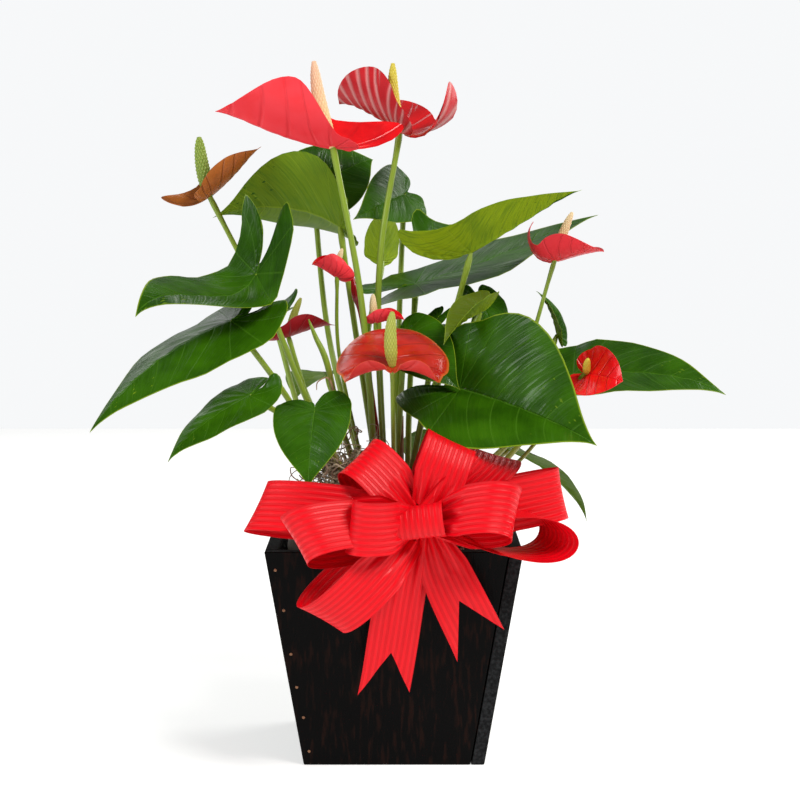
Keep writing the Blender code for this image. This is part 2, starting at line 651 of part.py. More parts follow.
def ribbon_strip(name, places, acrosses, collection, paint, notch=0.0):
    """A strip of ribbon: its middle line, with the half-width vector at each place."""
    sheet = bmesh.new()
    rows = [[sheet.verts.new(spot * MM) for spot in (place - across, place, place + across)]
            for place, across in zip(places, acrosses)]
    if notch:
        ahead = (places[-1] - places[-2]).normalized()
        for corner in (rows[-1][0], rows[-1][2]):
            corner.co += ahead * notch * MM
    for low, high in zip(rows, rows[1:]):
        for k in range(2):
            sheet.faces.new((low[k], low[k + 1], high[k + 1], high[k]))
    return new_object(name, thickened(name, sheet, RIBBON_THICKNESS), collection, paint)


def gathered(part):
    """Share of the full ribbon width at this part of the way from the knot."""
    return 0.36 + 0.64 * min(1.0, part / 0.5) ** 0.8


def make_loop(number, end, across, opening, collection, paint):
    """One bow loop: out from the knot, round the far fold and back, with its width along across."""
    reach = Vector(end) - KNOT
    ahead = reach.normalized()
    across = Vector(across).normalized()
    skew = sqrt(1.0 - ahead.dot(across) ** 2)
    lift = across.cross(ahead).normalized()
    places, acrosses = [], []
    for k in range(LOOP_STEPS + 1):
        turn = pi * (LOOP_TRIM + (1.0 - 2.0 * LOOP_TRIM) * k / LOOP_STEPS)
        out = sin(turn)
        place = KNOT + reach * out + lift * 0.5 * opening * sin(2 * turn)
        places.append(place)
        acrosses.append(across * 0.5 * RIBBON_WIDTH * gathered(out) / skew)
    return ribbon_strip(f"loop_{number}", places, acrosses, collection, paint)


def make_wire(collection, paint):
    """The wire hook behind the bow: up from beside the pot, over the rim and out to the knot."""
    new_object("bow_wire", tube("bow_wire", WIRE_POINTS, [WIRE_RADIUS] * len(WIRE_POINTS), WIRE_SIDES),
               collection, paint)


def make_bow(collection, cutters, paint):
    """The bow: knot, loops and two notched tails, all of one ribbon."""
    solid = bmesh.new()
    bmesh.ops.create_uvsphere(solid, u_segments=10, v_segments=6, radius=KNOT_RADIUS * MM)
    bmesh.ops.scale(solid, verts=solid.verts, vec=(1.0, 0.9, 1.1))
    bmesh.ops.translate(solid, verts=solid.verts, vec=KNOT * MM)
    mesh = bpy.data.meshes.new("ribbon_bow")
    solid.to_mesh(mesh)
    solid.free()
    bow = new_object("ribbon_bow", mesh, collection, paint)
    for number, (end, across, opening) in enumerate(LOOPS, 1):
        strip = make_loop(number, end, across, opening, cutters, paint)
        hide(strip)
        join(bow, strip)
    for name, points, acrosses, notch in TAILS:
        spots = [Vector(point) for point in points]
        sides = [Vector(point) for point in acrosses]
        places = [spline_point(spots, k / TAIL_STEPS) for k in range(TAIL_STEPS + 1)]
        widths = [spline_point(sides, k / TAIL_STEPS) for k in range(TAIL_STEPS + 1)]
        strip = ribbon_strip(name, places, widths, cutters, paint, notch)
        hide(strip)
        join(bow, strip)


def clear_scene():
    """Removes every object of the open scene."""
    for thing in list(bpy.data.objects):
        bpy.data.objects.remove(thing, do_unlink=True)


def main():
    """Builds every node of the model."""
    clear_scene()
    collection = bpy.data.collections.new("potted_anthurium")
    cutters = bpy.data.collections.new("helpers")
    bpy.context.scene.collection.children.link(collection)
    bpy.context.scene.collection.children.link(cutters)
    lacquer = paint_of("lacquered_wood", (0.012, 0.008, 0.007), 0.25)
    black = paint_of("pot_plastic", (0.02, 0.02, 0.02), 0.5)
    earth = paint_of("mix", (0.06, 0.035, 0.02), 0.9)
    moss = paint_of("spanish_moss", (0.28, 0.22, 0.15), 0.9)
    green = paint_of("leaf_green", (0.03, 0.16, 0.02), 0.3)
    stalk = paint_of("stalk_green", (0.25, 0.38, 0.06), 0.4)
    red = paint_of("spathe_red", (0.65, 0.02, 0.03), 0.3)
    satin = paint_of("ribbon_red", (0.7, 0.005, 0.015), 0.4)
    steel = paint_of("wire_steel", (0.5, 0.5, 0.5), 0.35, 1.0)
    for quarter, side in enumerate(("front", "right", "back", "left")):
        make_board("planter_" + side, quarter, collection, lacquer)
    make_base(collection, lacquer)
    make_grow_pot(collection, black)
    make_mix(collection, earth)
    make_moss(collection, moss)
    for entry in LEAVES:
        make_leaf(entry, collection, cutters, green)
    for entry in BLOOMS:
        make_bloom(entry, collection, stalk, red)
    for name, points, radii in SHOOTS:
        make_shoot(name, points, radii, collection, red if name == "flower_bud" else green)
    make_bow(collection, cutters, satin)
    make_wire(collection, steel)


main()
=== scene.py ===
"""Potted anthurium: the finished looks of the plant, its moss, its ribbon bow and its planter.

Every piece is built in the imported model's own frame, in metres, with +Z up and the front on -Y.
The tables of leaves, flowers and ribbon hold millimetres and degrees, and MM turns them to metres.
"""

import logging
from collections.abc import Callable, Sequence
from dataclasses import dataclass
from enum import Enum
from math import cos, pi, radians, sin, sqrt

import bpy
import numpy as np
from mathutils import Matrix, Vector

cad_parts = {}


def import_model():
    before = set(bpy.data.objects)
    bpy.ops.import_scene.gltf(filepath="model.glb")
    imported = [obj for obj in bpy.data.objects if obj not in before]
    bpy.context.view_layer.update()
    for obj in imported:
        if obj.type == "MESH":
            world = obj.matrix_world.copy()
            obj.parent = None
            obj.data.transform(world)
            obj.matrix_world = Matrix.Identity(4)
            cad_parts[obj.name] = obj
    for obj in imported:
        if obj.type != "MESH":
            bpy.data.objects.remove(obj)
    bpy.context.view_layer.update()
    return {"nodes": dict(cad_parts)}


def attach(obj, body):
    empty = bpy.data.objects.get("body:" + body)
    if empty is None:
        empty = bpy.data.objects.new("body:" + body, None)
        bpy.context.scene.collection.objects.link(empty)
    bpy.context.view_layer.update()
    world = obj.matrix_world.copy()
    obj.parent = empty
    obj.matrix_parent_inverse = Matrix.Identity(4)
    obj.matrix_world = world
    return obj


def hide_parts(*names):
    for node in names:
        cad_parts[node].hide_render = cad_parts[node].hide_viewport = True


MM = 0.001
LOG = logging.getLogger("potted_anthurium")

Colour = tuple[float, float, float]
Triple = tuple[float, float, float]
Pair = tuple[float, float]
Array = np.ndarray
Material = bpy.types.Material
Piece = bpy.types.Object
Socket = bpy.types.NodeSocket


# ---------------------------------------------------------------- shader writing


def operator(operation: str, mirrored: bool = False) -> Callable:
    """A method of Signal that adds one Math node.

    Args:
        operation: The node's operation.
        mirrored: Whether the signal is the node's last input instead of its first.

    Returns:
        The method.
    """
    def apply(self: "Signal", *others: "Signal | float") -> "Signal":
        """The node's output."""
        values = (*others, self) if mirrored else (self, *others)
        made = self.shade.node("ShaderNodeMath", {"operation": operation}, dict(enumerate(values)))
        return Signal(self.shade, made.outputs[0])

    return apply


class Signal:
    """One shader value, which adds Math nodes when it is used in arithmetic."""

    __add__, __radd__ = operator("ADD"), operator("ADD", True)
    __sub__, __rsub__ = operator("SUBTRACT"), operator("SUBTRACT", True)
    __mul__, __rmul__ = operator("MULTIPLY"), operator("MULTIPLY", True)
    __pow__ = operator("POWER")
    absolute = operator("ABSOLUTE")
    fraction = operator("FRACT")
    sine = operator("SINE")
    turn_over = operator("ARCTAN2")
    below = operator("LESS_THAN")
    most = operator("MAXIMUM")

    def __init__(self, shade: "Shade", socket: Socket) -> None:
        """Wraps an output socket of a material's nodes."""
        self.shade = shade
        self.socket = socket

    def ramp(self, low: float, high: float, start: float = 0.0, end: float = 1.0) -> "Signal":
        """A smooth step from start at low to end at high.

        Args:
            low: The value at which the step begins.
            high: The value at which it ends.
            start: The result before low.
            end: The result after high.

        Returns:
            The stepped value.
        """
        made = self.shade.node("ShaderNodeMapRange", {"interpolation_type": "SMOOTHSTEP"},
                               {0: self, 1: low, 2: high, 3: start, 4: end})
        return Signal(self.shade, made.outputs[0])


class Shade:
    """The node tree of one material, written as Python."""

    def __init__(self, name: str) -> None:
        """Starts a material with an empty tree apart from its Principled shader and output."""
        self.material = bpy.data.materials.new(name)
        self.material.use_nodes = True
        self.tree = self.material.node_tree
        self.shader = self.tree.nodes["Principled BSDF"]

    def feed(self, socket: Socket, value: object) -> None:
        """Links a signal or a socket to an input, or sets the input's own value.

        Args:
            socket: The input.
            value: A Signal, an output socket, a number or a colour.
        """
        if isinstance(value, Signal):
            value = value.socket
        if isinstance(value, Socket):
            self.tree.links.new(value, socket)
        elif isinstance(value, tuple) and len(value) == 3 and len(socket.default_value) == 4:
            socket.default_value = (*value, 1.0)
        else:
            socket.default_value = value

    def node(self, kind: str, settings: dict | None = None, sockets: dict | None = None) -> bpy.types.Node:
        """Adds one node.

        Args:
            kind: The node's type.
            settings: Its properties, set first.
            sockets: Its inputs by name or number, with their values or links.

        Returns:
            The node.
        """
        made = self.tree.nodes.new(kind)
        for key, value in (settings or {}).items():
            setattr(made, key, value)
        for key, value in (sockets or {}).items():
            self.feed(made.inputs[key], value)
        return made

    def attribute(self, name: str) -> tuple[Signal, Signal, Signal]:
        """The three numbers of a piece's own attribute.

        Args:
            name: The attribute's name.

        Returns:
            Its x, y and z.
        """
        return self.split(self.node("ShaderNodeAttribute", {"attribute_name": name}).outputs["Vector"])

    def split(self, where: Socket) -> tuple[Signal, Signal, Signal]:
        """The x, y and z of a vector."""
        outputs = self.node("ShaderNodeSeparateXYZ", None, {0: where}).outputs
        return tuple(Signal(self, output) for output in outputs)

    def place(self, stretch: Triple | None = None) -> Socket:
        """The point in the model's frame, its x, y and z scaled if stretch is given."""
        where = self.node("ShaderNodeTexCoord").outputs["Object"]
        return where if stretch is None else self.scaled(where, stretch)

    def scaled(self, where: Socket, stretch: Triple) -> Socket:
        """A vector with its x, y and z scaled."""
        return self.node("ShaderNodeMapping", None, {"Vector": where, "Scale": stretch}).outputs[0]

    def vector(self, x: "Signal | float", y: "Signal | float", z: "Signal | float") -> Socket:
        """Three values as one vector socket."""
        return self.node("ShaderNodeCombineXYZ", None, {0: x, 1: y, 2: z}).outputs[0]

    def noise(self, scale: float, detail: float = 3.0, stretch: Triple = (1.0, 1.0, 1.0),
              where: Socket | None = None) -> Signal:
        """Cloudy noise on Object coordinates, or on another vector.

        Args:
            scale: How many clouds there are to the metre, or to the vector's unit.
            detail: How many finer layers it has.
            stretch: Factors on x, y and z.
            where: The vector to read, if not the place.

        Returns:
            The noise, about 0.5.
        """
        mapped = self.place(stretch) if where is None else self.scaled(where, stretch)
        made = self.node("ShaderNodeTexNoise", None, {"Vector": mapped, "Scale": scale, "Detail": detail})
        return Signal(self, made.outputs[0])

    def cells(self, scale: float) -> Signal:
        """Distance to the nearest seed point of a random cell pattern on Object coordinates."""
        made = self.node("ShaderNodeTexVoronoi", None, {"Vector": self.place(), "Scale": scale})
        return Signal(self, made.outputs["Distance"])

    def blend(self, first: object, second: object, share: "Signal | float") -> Socket:
        """A colour between two colours.

        Args:
            first: The colour where share is 0.
            second: The colour where share is 1.
            share: How much of the second there is.

        Returns:
            The colour socket.
        """
        made = self.node("ShaderNodeMix", {"data_type": "RGBA", "clamp_factor": True},
                         {"Factor": share, 6: first, 7: second})
        return made.outputs[2]

    def bump(self, height: Signal, strength: float, depth: float) -> Socket:
        """A bumped normal.

        Args:
            height: The height from 0 to 1.
            strength: How strong the relief is.
            depth: The height of 1, in metres.

        Returns:
            The normal socket.
        """
        sockets = {"Height": height, "Strength": strength, "Distance": depth}
        return self.node("ShaderNodeBump", None, sockets).outputs[0]

    def finish(self, **sockets: object) -> Material:
        """Sets the Principled shader's inputs and gives the material.

        Args:
            sockets: Values or links by input name, with _ for a space.

        Returns:
            The material.
        """
        for key, value in sockets.items():
            self.feed(self.shader.inputs[key.replace("_", " ")], value)
        return self.material


# ---------------------------------------------------------------- finishes


@dataclass(frozen=True)
class Veins:
    """The vein net of a heart-shaped blade: laterals off the midrib and a fan in the back lobes.

    slope and sweep curve the laterals towards the tip. laterals and basal say how many there are to
    the blade's length and to the radian, and fan_start is where the fan begins.
    """

    slope: float
    sweep: float
    laterals: float
    basal: float
    fan_start: float
    rib_width: float
    lateral_share: float = 0.8
    rib_taper: float = 0.004

    def lean(self, s: Signal, t: Signal) -> Signal:
        """Which lateral a place belongs to, as a number that grows towards the tip."""
        a = t.absolute()
        return s - a * self.slope - a * a * self.sweep

    def net(self, s: Signal, t: Signal, lean: Signal) -> tuple[Signal, Signal, Signal]:
        """The veins at a place of the flat blade.

        Args:
            s: Place along the midrib, in parts of its length.
            t: Place across it.
            lean: Which lateral it belongs to.

        Returns:
            The distance to the nearest vein, the midrib's mask, and how far it is between veins.
        """
        a = t.absolute()
        r = (s * s + a * a) ** 0.5
        side = ((lean * self.laterals).fraction() - 0.5).absolute()
        turn = a.turn_over(s)
        fan = (((turn - self.fan_start) * self.basal).fraction() - 0.5).absolute()
        behind = lean.below(0.0)
        lateral = side * (self.lateral_share / self.laterals)
        near = lateral + (fan * r * (1.0 / self.basal) - lateral) * behind
        rib = (a - (1.0 - s) * self.rib_taper).ramp(self.rib_width, 0.0)
        return near, rib, side + (fan - side) * behind


@dataclass(frozen=True)
class LeafFinish:
    """Glossy leaf: dark above with pale veins, lighter and matt beneath with a painted backlight glow,
    and a yellow-green margin that is partly its own paler rim and partly painted backlight.
    """

    dark: Colour = (0.010, 0.044, 0.001)
    middle: Colour = (0.036, 0.125, 0.002)
    young: Colour = (0.110, 0.150, 0.008)
    vein: Colour = (0.070, 0.190, 0.012)
    # margin: partly the leaf's own paler rim, partly painted backlight through the thin edge; also used for
    # the underside's veins
    margin: Colour = (0.260, 0.360, 0.020)
    beneath: Colour = (0.050, 0.130, 0.008)
    # painted backlight: the bright yellow-green that the underside is painted towards, for light shining
    # through it
    backlit_green: Colour = (0.240, 0.340, 0.007)
    net: Veins = Veins(0.55, 1.9, 5.5, 1.9, 0.9, 0.006)
    stray: float = 0.05
    line_edges: Pair = (0.0065, 0.0010)
    margin_edges: Pair = (0.980, 0.997)
    crease_stretch: Triple = (46.0, 7.0, 1.0)
    relief_depth: float = 0.0011

    def build(self) -> Material:
        """The leaf material."""
        shade = Shade("leaf_green")
        s, t, under = shade.attribute("flat")
        edge, painted_backlight, tone = shade.attribute("rim")
        lean = self.net.lean(s, t)
        near, rib, between = self.net.net(s, t, lean + (shade.noise(14.0, 2.0) - 0.5) * self.stray)
        line = (near.ramp(*self.line_edges) * 0.6).most(rib) * edge.ramp(1.0, 0.90, 0.25, 1.0)
        swell = (between * 2.0).ramp(0.0, 1.0)
        cloud = shade.noise(38.0, 4.0)
        fine = shade.noise(700.0, 3.0)
        crease = shade.noise(1.0, 3.0, self.crease_stretch, shade.vector(lean, t, 0.0))
        upper = shade.blend(self.dark, self.middle, cloud.ramp(0.3, 0.72) * 0.6 + crease * 0.5)
        upper = shade.blend(upper, self.young, tone)
        upper = shade.blend(upper, self.vein, line * 0.6)
        # yellow-green margin: partly its own colour, partly painted backlight where the thin rim lets light
        # through
        upper = shade.blend(upper, self.margin, edge.ramp(*self.margin_edges) * 0.8)
        # painted backlight: glow brightens each leaf's underside colour, standing in for light through the
        # blade
        lower = shade.blend(self.beneath, self.backlit_green, painted_backlight)
        lower = shade.blend(lower, self.beneath, cloud.ramp(0.4, 0.8) * 0.5)
        lower = shade.blend(lower, self.beneath, crease.ramp(0.46, 0.66) * 0.45)
        lower = shade.blend(lower, self.margin, line * 0.45)
        relief = swell * 0.25 + line * -0.6 + fine * 0.06 + cloud * 0.2 + crease * 0.85
        gloss = crease.ramp(0.50, 0.70) * (1.0 - under)
        return shade.finish(Base_Color=shade.blend(upper, lower, under),
                            Roughness=cloud * 0.16 + 0.24 + under * 0.22,
                            Normal=shade.bump(relief, 0.6, self.relief_depth), Specular_IOR_Level=0.07,
                            Coat_Weight=gloss * 0.45, Coat_Roughness=0.16)


@dataclass(frozen=True)
class StalkFinish:
    """Satin stalk: yellow-green, redder and browner towards the soil, with fine lengthwise lines."""

    top: Colour = (0.210, 0.310, 0.018)
    low: Colour = (0.230, 0.170, 0.035)
    foot: Colour = (0.240, 0.085, 0.025)
    foot_height: float = 0.13
    brown_height: float = 0.215
    blend_below: float = 0.02
    blend_above: float = 0.06

    def build(self) -> Material:
        """The stalk material."""
        shade = Shade("stalk_green")
        cloud = shade.noise(60.0, 4.0, (1.0, 1.0, 0.25))
        streak = shade.noise(900.0, 2.0, (1.0, 1.0, 0.02))
        height = shade.split(shade.place())[2] + (cloud - 0.5) * 0.05
        colour = shade.blend(self.foot, self.low, height.ramp(self.foot_height, self.brown_height))
        greening = height.ramp(self.brown_height - self.blend_below, self.brown_height + self.blend_above)
        colour = shade.blend(colour, self.top, greening)
        colour = shade.blend(colour, self.foot, cloud.ramp(0.58, 0.80) * 0.35)
        normal = shade.bump(streak * 0.7 + cloud * 0.3, 0.35, 0.0006)
        return shade.finish(Base_Color=colour, Roughness=streak * 0.2 + 0.28, Normal=normal)


class Red(Enum):
    """The colours of spathe in this plant."""

    BRIGHT = "bright"
    SILVER = "silver"
    DEEP = "deep"
    WARM = "warm"
    FADED = "faded"


@dataclass(frozen=True)
class SpatheFinish:
    """Waxy spathe: lacquered red face, duller and pinker back, and puckered curved veins, whose colour on
    the back is a painted silver sheen on the silver spathe and a darker red vein tint on the others.
    """

    red: Red
    face: Colour
    shadow: Colour
    back: Colour
    base: Colour
    # vein colour on the back: a pale silver-pink painted sheen for the silver spathe, a darker red tint for
    # the others
    vein_tint_and_sheen: Colour
    vein_tint_and_sheen_share: float = 0.15
    ridge_width: float = 0.022
    net: Veins = Veins(0.35, 1.7, 4.0, 1.6, 1.0, 0.008)
    margin: Colour = (0.700, 0.200, 0.035)
    margin_share: float = 0.0
    relief_depth: float = 0.0014

    def build(self) -> Material:
        """The spathe material."""
        shade = Shade(f"spathe_{self.red.value}")
        s, t, under = shade.attribute("flat")
        edge, painted_backlight, tone = shade.attribute("rim")
        r = (s * s + t * t) ** 0.5
        near, rib, _ = self.net.net(s, t, self.net.lean(s, t))
        line = near.ramp(self.ridge_width, 0.001) * r.ramp(0.02, 0.12)
        cloud = shade.noise(55.0, 4.0)
        fine = shade.noise(1100.0, 3.0)
        front = shade.blend(self.shadow, self.face, cloud.ramp(0.25, 0.7))
        front = shade.blend(front, self.shadow, line * 0.25)
        front = shade.blend(front, self.base, r.ramp(0.16, 0.05) * 0.8 + tone * edge.ramp(0.3, 1.0) * 0.5)
        front = shade.blend(front, self.margin, edge.ramp(0.93, 0.985) * self.margin_share)
        rear = shade.blend(self.back, self.face, cloud.ramp(0.45, 0.85) * 0.5)
        # the back's vein colour, a painted sheen on the silver spathe
        rear = shade.blend(rear, self.vein_tint_and_sheen, rib.most(line) * self.vein_tint_and_sheen_share)
        relief = line * -0.7 + rib * -0.5 + fine * 0.12 + cloud * 0.3
        # glow is painted backlight: where a flower sets it, the front takes the back's colour
        return shade.finish(Base_Color=shade.blend(front, rear, under.most(painted_backlight)),
                            Roughness=under * 0.22 + cloud * 0.12 + 0.16,
                            Normal=shade.bump(relief, 0.6, self.relief_depth), Specular_IOR_Level=0.25,
                            Coat_Weight=(1.0 - under) * 0.3, Coat_Roughness=0.12)


@dataclass(frozen=True)
class SpadixFinish:
    """Spadix: small packed florets, paler at their tips, with painted shade in the gaps between them,
    from one colour below to another above.
    """

    name: str
    low: Colour
    high: Colour
    # gap: painted shade in the hollows between the florets
    gap: Colour
    tips: Colour = (0.85, 0.74, 0.48)

    def build(self) -> Material:
        """The spadix material."""
        shade = Shade(f"spadix_{self.name}")
        run, crown, _ = shade.attribute("flat")
        fine = shade.noise(1500.0, 2.0)
        colour = shade.blend(self.low, self.high, run.ramp(0.15, 0.95))
        # painted shade: the gaps between the florets darken towards the gap colour
        colour = shade.blend(self.gap, colour, crown.ramp(-0.25, 0.40))
        colour = shade.blend(colour, self.tips, crown.ramp(0.80, 1.0) * 0.35)
        normal = shade.bump(fine, 0.3, 0.0003)
        return shade.finish(Base_Color=colour, Roughness=crown * -0.15 + 0.60, Normal=normal)


@dataclass(frozen=True)
class SatinFinish:
    """Red satin ribbon with narrow lengthwise ribs, a painted sheen that lightens each rib's crest over
    the plainer red between, and a firm woven edge.
    """

    # bright is the painted sheen of the ribs' crests; dull is the plainer red between them and at the edge
    bright: Colour = (0.780, 0.001, 0.008)
    unsheened_red: Colour = (0.620, 0.001, 0.006)
    ribs: float = 9.0
    weft_mm: float = 0.55

    def build(self) -> Material:
        """The ribbon material."""
        shade = Shade("ribbon_satin")
        across, along, _ = shade.attribute("flat")
        wave = (across * (self.ribs * pi)).sine()
        rib = wave.ramp(-0.60, 0.60)
        weft = (along * (2 * pi / self.weft_mm)).sine() * 0.5 + 0.5
        thread = shade.noise(2600.0, 2.0)
        edge = across.absolute().ramp(0.955, 0.985)
        # painted sheen: each rib's crest takes the brighter red and its troughs the plainer one
        colour = shade.blend(self.unsheened_red, self.bright, rib * 0.8 + thread * 0.25)
        colour = shade.blend(colour, self.unsheened_red, edge * 0.6)
        relief = rib * 0.75 + weft * 0.12 + edge * 0.6 + thread * 0.10
        normal = shade.bump(relief, 0.7, 0.00040)
        rough = 0.46 - rib * 0.20 + edge * 0.10 + thread * 0.08
        return shade.finish(Base_Color=colour, Roughness=rough, Normal=normal, Specular_IOR_Level=0.22)


@dataclass(frozen=True)
class LacquerFinish:
    """Near-black brown lacquer over vertical wood grain, worn duller and paler along cut ends."""

    deep: Colour = (0.0012, 0.0010, 0.0010)
    brown: Colour = (0.0130, 0.0042, 0.0026)
    cut: Colour = (0.0220, 0.0230, 0.0240)

    def build(self) -> Material:
        """The planter's material."""
        shade = Shade("lacquered_wood")
        ends = shade.attribute("flat")[0]
        grain = shade.noise(300.0, 6.0, (1.0, 1.0, 0.035))
        fibre = shade.noise(900.0, 3.0, (1.0, 1.0, 0.06))
        cloud = shade.noise(22.0, 3.0)
        fleck = shade.noise(420.0, 5.0)
        colour = shade.blend(self.deep, self.brown, grain.ramp(0.50, 0.68) * 0.75)
        worn = shade.blend(self.deep, self.cut, fleck.ramp(0.35, 0.7) * 0.7 + 0.3)
        colour = shade.blend(colour, worn, ends)
        relief = grain * 0.5 + fibre * 0.25 + cloud * 0.5 + fleck * ends * 1.6
        normal = shade.bump(relief, 0.35, 0.0010)
        rough = grain * 0.16 + 0.16 + cloud * 0.10 + ends * 0.50
        return shade.finish(Base_Color=colour, Roughness=rough, Normal=normal, Specular_IOR_Level=0.05)


@dataclass(frozen=True)
class FibreFinish:
    """Dry curly moss: grey-brown threads, with paler and darker ones among them."""

    name: str
    dark: Colour
    light: Colour

    def build(self) -> Material:
        """The moss material."""
        shade = Shade(self.name)
        shift = shade.attribute("flat")[0]
        cloud = shade.noise(420.0, 3.0)
        colour = shade.blend(self.dark, self.light, shift * 0.75 + (cloud - 0.5) * 0.7)
        normal = shade.bump(cloud, 0.5, 0.0004)
        return shade.finish(Base_Color=colour, Roughness=0.85, Normal=normal, Sheen_Weight=0.2)


@dataclass(frozen=True)
class SoilFinish:
    """Potting mix: dark peat with paler bark chips."""

    peat: Colour = (0.020, 0.012, 0.008)
    bark: Colour = (0.120, 0.066, 0.034)

    def build(self) -> Material:
        """The potting mix material."""
        shade = Shade("potting_mix")
        chip = shade.cells(210.0)
        grain = shade.noise(900.0, 4.0)
        colour = shade.blend(self.bark, self.peat, chip.ramp(0.25, 0.55) * 0.8 + grain * 0.2)
        normal = shade.bump(grain * 0.4 + chip * -0.6, 0.9, 0.0030)
        return shade.finish(Base_Color=colour, Roughness=0.92, Normal=normal)


@dataclass(frozen=True)
class PotFinish:
    """Matt moulded pot plastic with faint turning lines."""

    body: Colour = (0.016, 0.016, 0.017)
    scuff: Colour = (0.055, 0.053, 0.050)

    def build(self) -> Material:
        """The nursery pot's material."""
        shade = Shade("pot_plastic")
        ring = shade.noise(700.0, 2.0, (0.05, 0.05, 1.0))
        scuff = shade.noise(95.0, 6.0)
        colour = shade.blend(self.body, self.scuff, scuff.ramp(0.58, 0.75) * 0.6)
        normal = shade.bump(ring * 0.4 + scuff * 0.6, 0.25, 0.0005)
        return shade.finish(Base_Color=colour, Roughness=scuff * 0.2 + 0.40, Normal=normal)


@dataclass(frozen=True)
class MetalFinish:
    """Metal with a patchy oxide over it."""

    name: str
    bare: Colour
    oxide: Colour
    spread: float
    metal: float

    def build(self) -> Material:
        """The metal's material."""
        shade = Shade(self.name)
        patch = shade.noise(900.0, 4.0)
        cover = patch.ramp(0.62 - self.spread, 0.72 - self.spread * 0.6)
        colour = shade.blend(self.bare, self.oxide, cover)
        normal = shade.bump(patch, 0.5, 0.0003)
        return shade.finish(Base_Color=colour, Metallic=self.metal - cover * self.metal * 0.8,
                            Roughness=cover * 0.35 + 0.35, Normal=normal)


@dataclass(frozen=True)
class SheathFinish:
    """Dry papery sheath at the foot of a stalk."""

    pale: Colour = (0.330, 0.200, 0.085)
    brown: Colour = (0.120, 0.048, 0.020)

    def build(self) -> Material:
        """The sheath's material."""
        shade = Shade("dry_sheath")
        streak = shade.noise(800.0, 3.0, (1.0, 1.0, 0.03))
        cloud = shade.noise(120.0, 3.0)
        colour = shade.blend(self.pale, self.brown, streak.ramp(0.4, 0.65) * 0.6 + cloud * 0.35)
        normal = shade.bump(streak, 0.6, 0.0005)
        return shade.finish(Base_Color=colour, Roughness=0.62, Normal=normal)


@dataclass(frozen=True)
class FloorFinish:
    """Plain pale floor."""

    pale: Colour = (0.80, 0.80, 0.79)
    shaded: Colour = (0.78, 0.78, 0.78)

    def build(self) -> Material:
        """The floor's material."""
        shade = Shade("pale_floor")
        colour = shade.blend(self.pale, self.shaded, shade.noise(3.0, 2.0))
        return shade.finish(Base_Color=colour, Roughness=0.8, Specular_IOR_Level=0.1,
                            Emission_Color=self.pale, Emission_Strength=0.60)


# ---------------------------------------------------------------- building pieces


def spline(points: Sequence[Sequence[float]], parts: Array) -> Array:
    """Places on a smooth curve through all of the points.

    Args:
        points: The points, as rows.
        parts: Where to read the curve, from 0 to 1.

    Returns:
        One row for each part.
    """
    knots = np.asarray(points, float)
    if knots.ndim == 1:
        knots = knots[:, None]
    padded = np.vstack([2 * knots[0] - knots[1], knots, 2 * knots[-1] - knots[-2]])
    place = np.clip(parts, 0.0, 1.0) * (len(knots) - 1)
    first = np.minimum(place.astype(int), len(knots) - 2)
    f = (place - first)[:, None]
    p0, p1, p2, p3 = (padded[first + k] for k in range(4))
    return 0.5 * (2 * p1 + (p2 - p0) * f + (2 * p0 - 5 * p1 + 4 * p2 - p3) * f**2
                  + (3 * p1 - p0 - 3 * p2 + p3) * f**3)


def bent(length: Array, fold: Array, curl: Array) -> tuple[Array, Array]:
    """How far a strip goes sideways and up when its slope turns from fold to fold + curl.

    Args:
        length: The strip's length.
        fold: Its slope at the start, in radians.
        curl: How far the slope turns along it.

    Returns:
        The sideways and upward distances.
    """
    safe = np.where(np.abs(curl) < 1e-4, 1e-4, curl)
    return (length * (np.sin(fold + safe) - np.sin(fold)) / safe,
            length * (np.cos(fold) - np.cos(fold + safe)) / safe)


def full_turn(count: int) -> Array:
    """Angles evenly round a circle, in radians."""
    return 2 * pi * np.arange(count) / count


def ring_faces(rows: int, columns: int, wrap: bool = True) -> Array:
    """Quads of a grid of points whose rows may close on themselves.

    Args:
        rows: How many rows there are.
        columns: How many points there are in a row.
        wrap: Whether a row's last point joins its first.

    Returns:
        The quads, one to a row.
    """
    k = np.arange(columns if wrap else columns - 1)
    corners = np.column_stack([k, (k + 1) % columns, columns + (k + 1) % columns, columns + k])
    return np.vstack([corners + j * columns for j in range(rows - 1)])


def end_caps(middle: int, sides: int, last: int) -> list[Array]:
    """Two fans of triangles that close a row of rings.

    Args:
        middle: The number of the start's middle point, which the end's follows.
        sides: How many points a ring has.
        last: The number of the last ring's first point.

    Returns:
        The fan at the start and the fan at the end.
    """
    k = np.arange(sides)
    after, hub = (k + 1) % sides, np.full(sides, middle)
    return [np.column_stack([hub, after, k]), np.column_stack([hub + 1, last + k, last + after])]


def swelling(part: Array, place: float, long: float) -> Array:
    """A smooth bump of height 1 at one place of a stalk."""
    return np.exp(-((part - place) / long) ** 2)


def unit(vectors: Array) -> Array:
    """The vectors, one or a row of them each, at length 1."""
    return vectors / np.maximum(np.linalg.norm(vectors, axis=-1, keepdims=True), 1e-12)


def point_normals(points: Array, quads: Array) -> Array:
    """Unit normals at the points of a sheet.

    Args:
        points: The points.
        quads: Its faces.

    Returns:
        One normal for each point.
    """
    a, b, c, d = (points[quads[:, k]] for k in range(4))
    across = np.cross(c - a, d - b)
    normals = np.zeros_like(points)
    for k in range(4):
        np.add.at(normals, quads[:, k], across)
    return unit(normals)


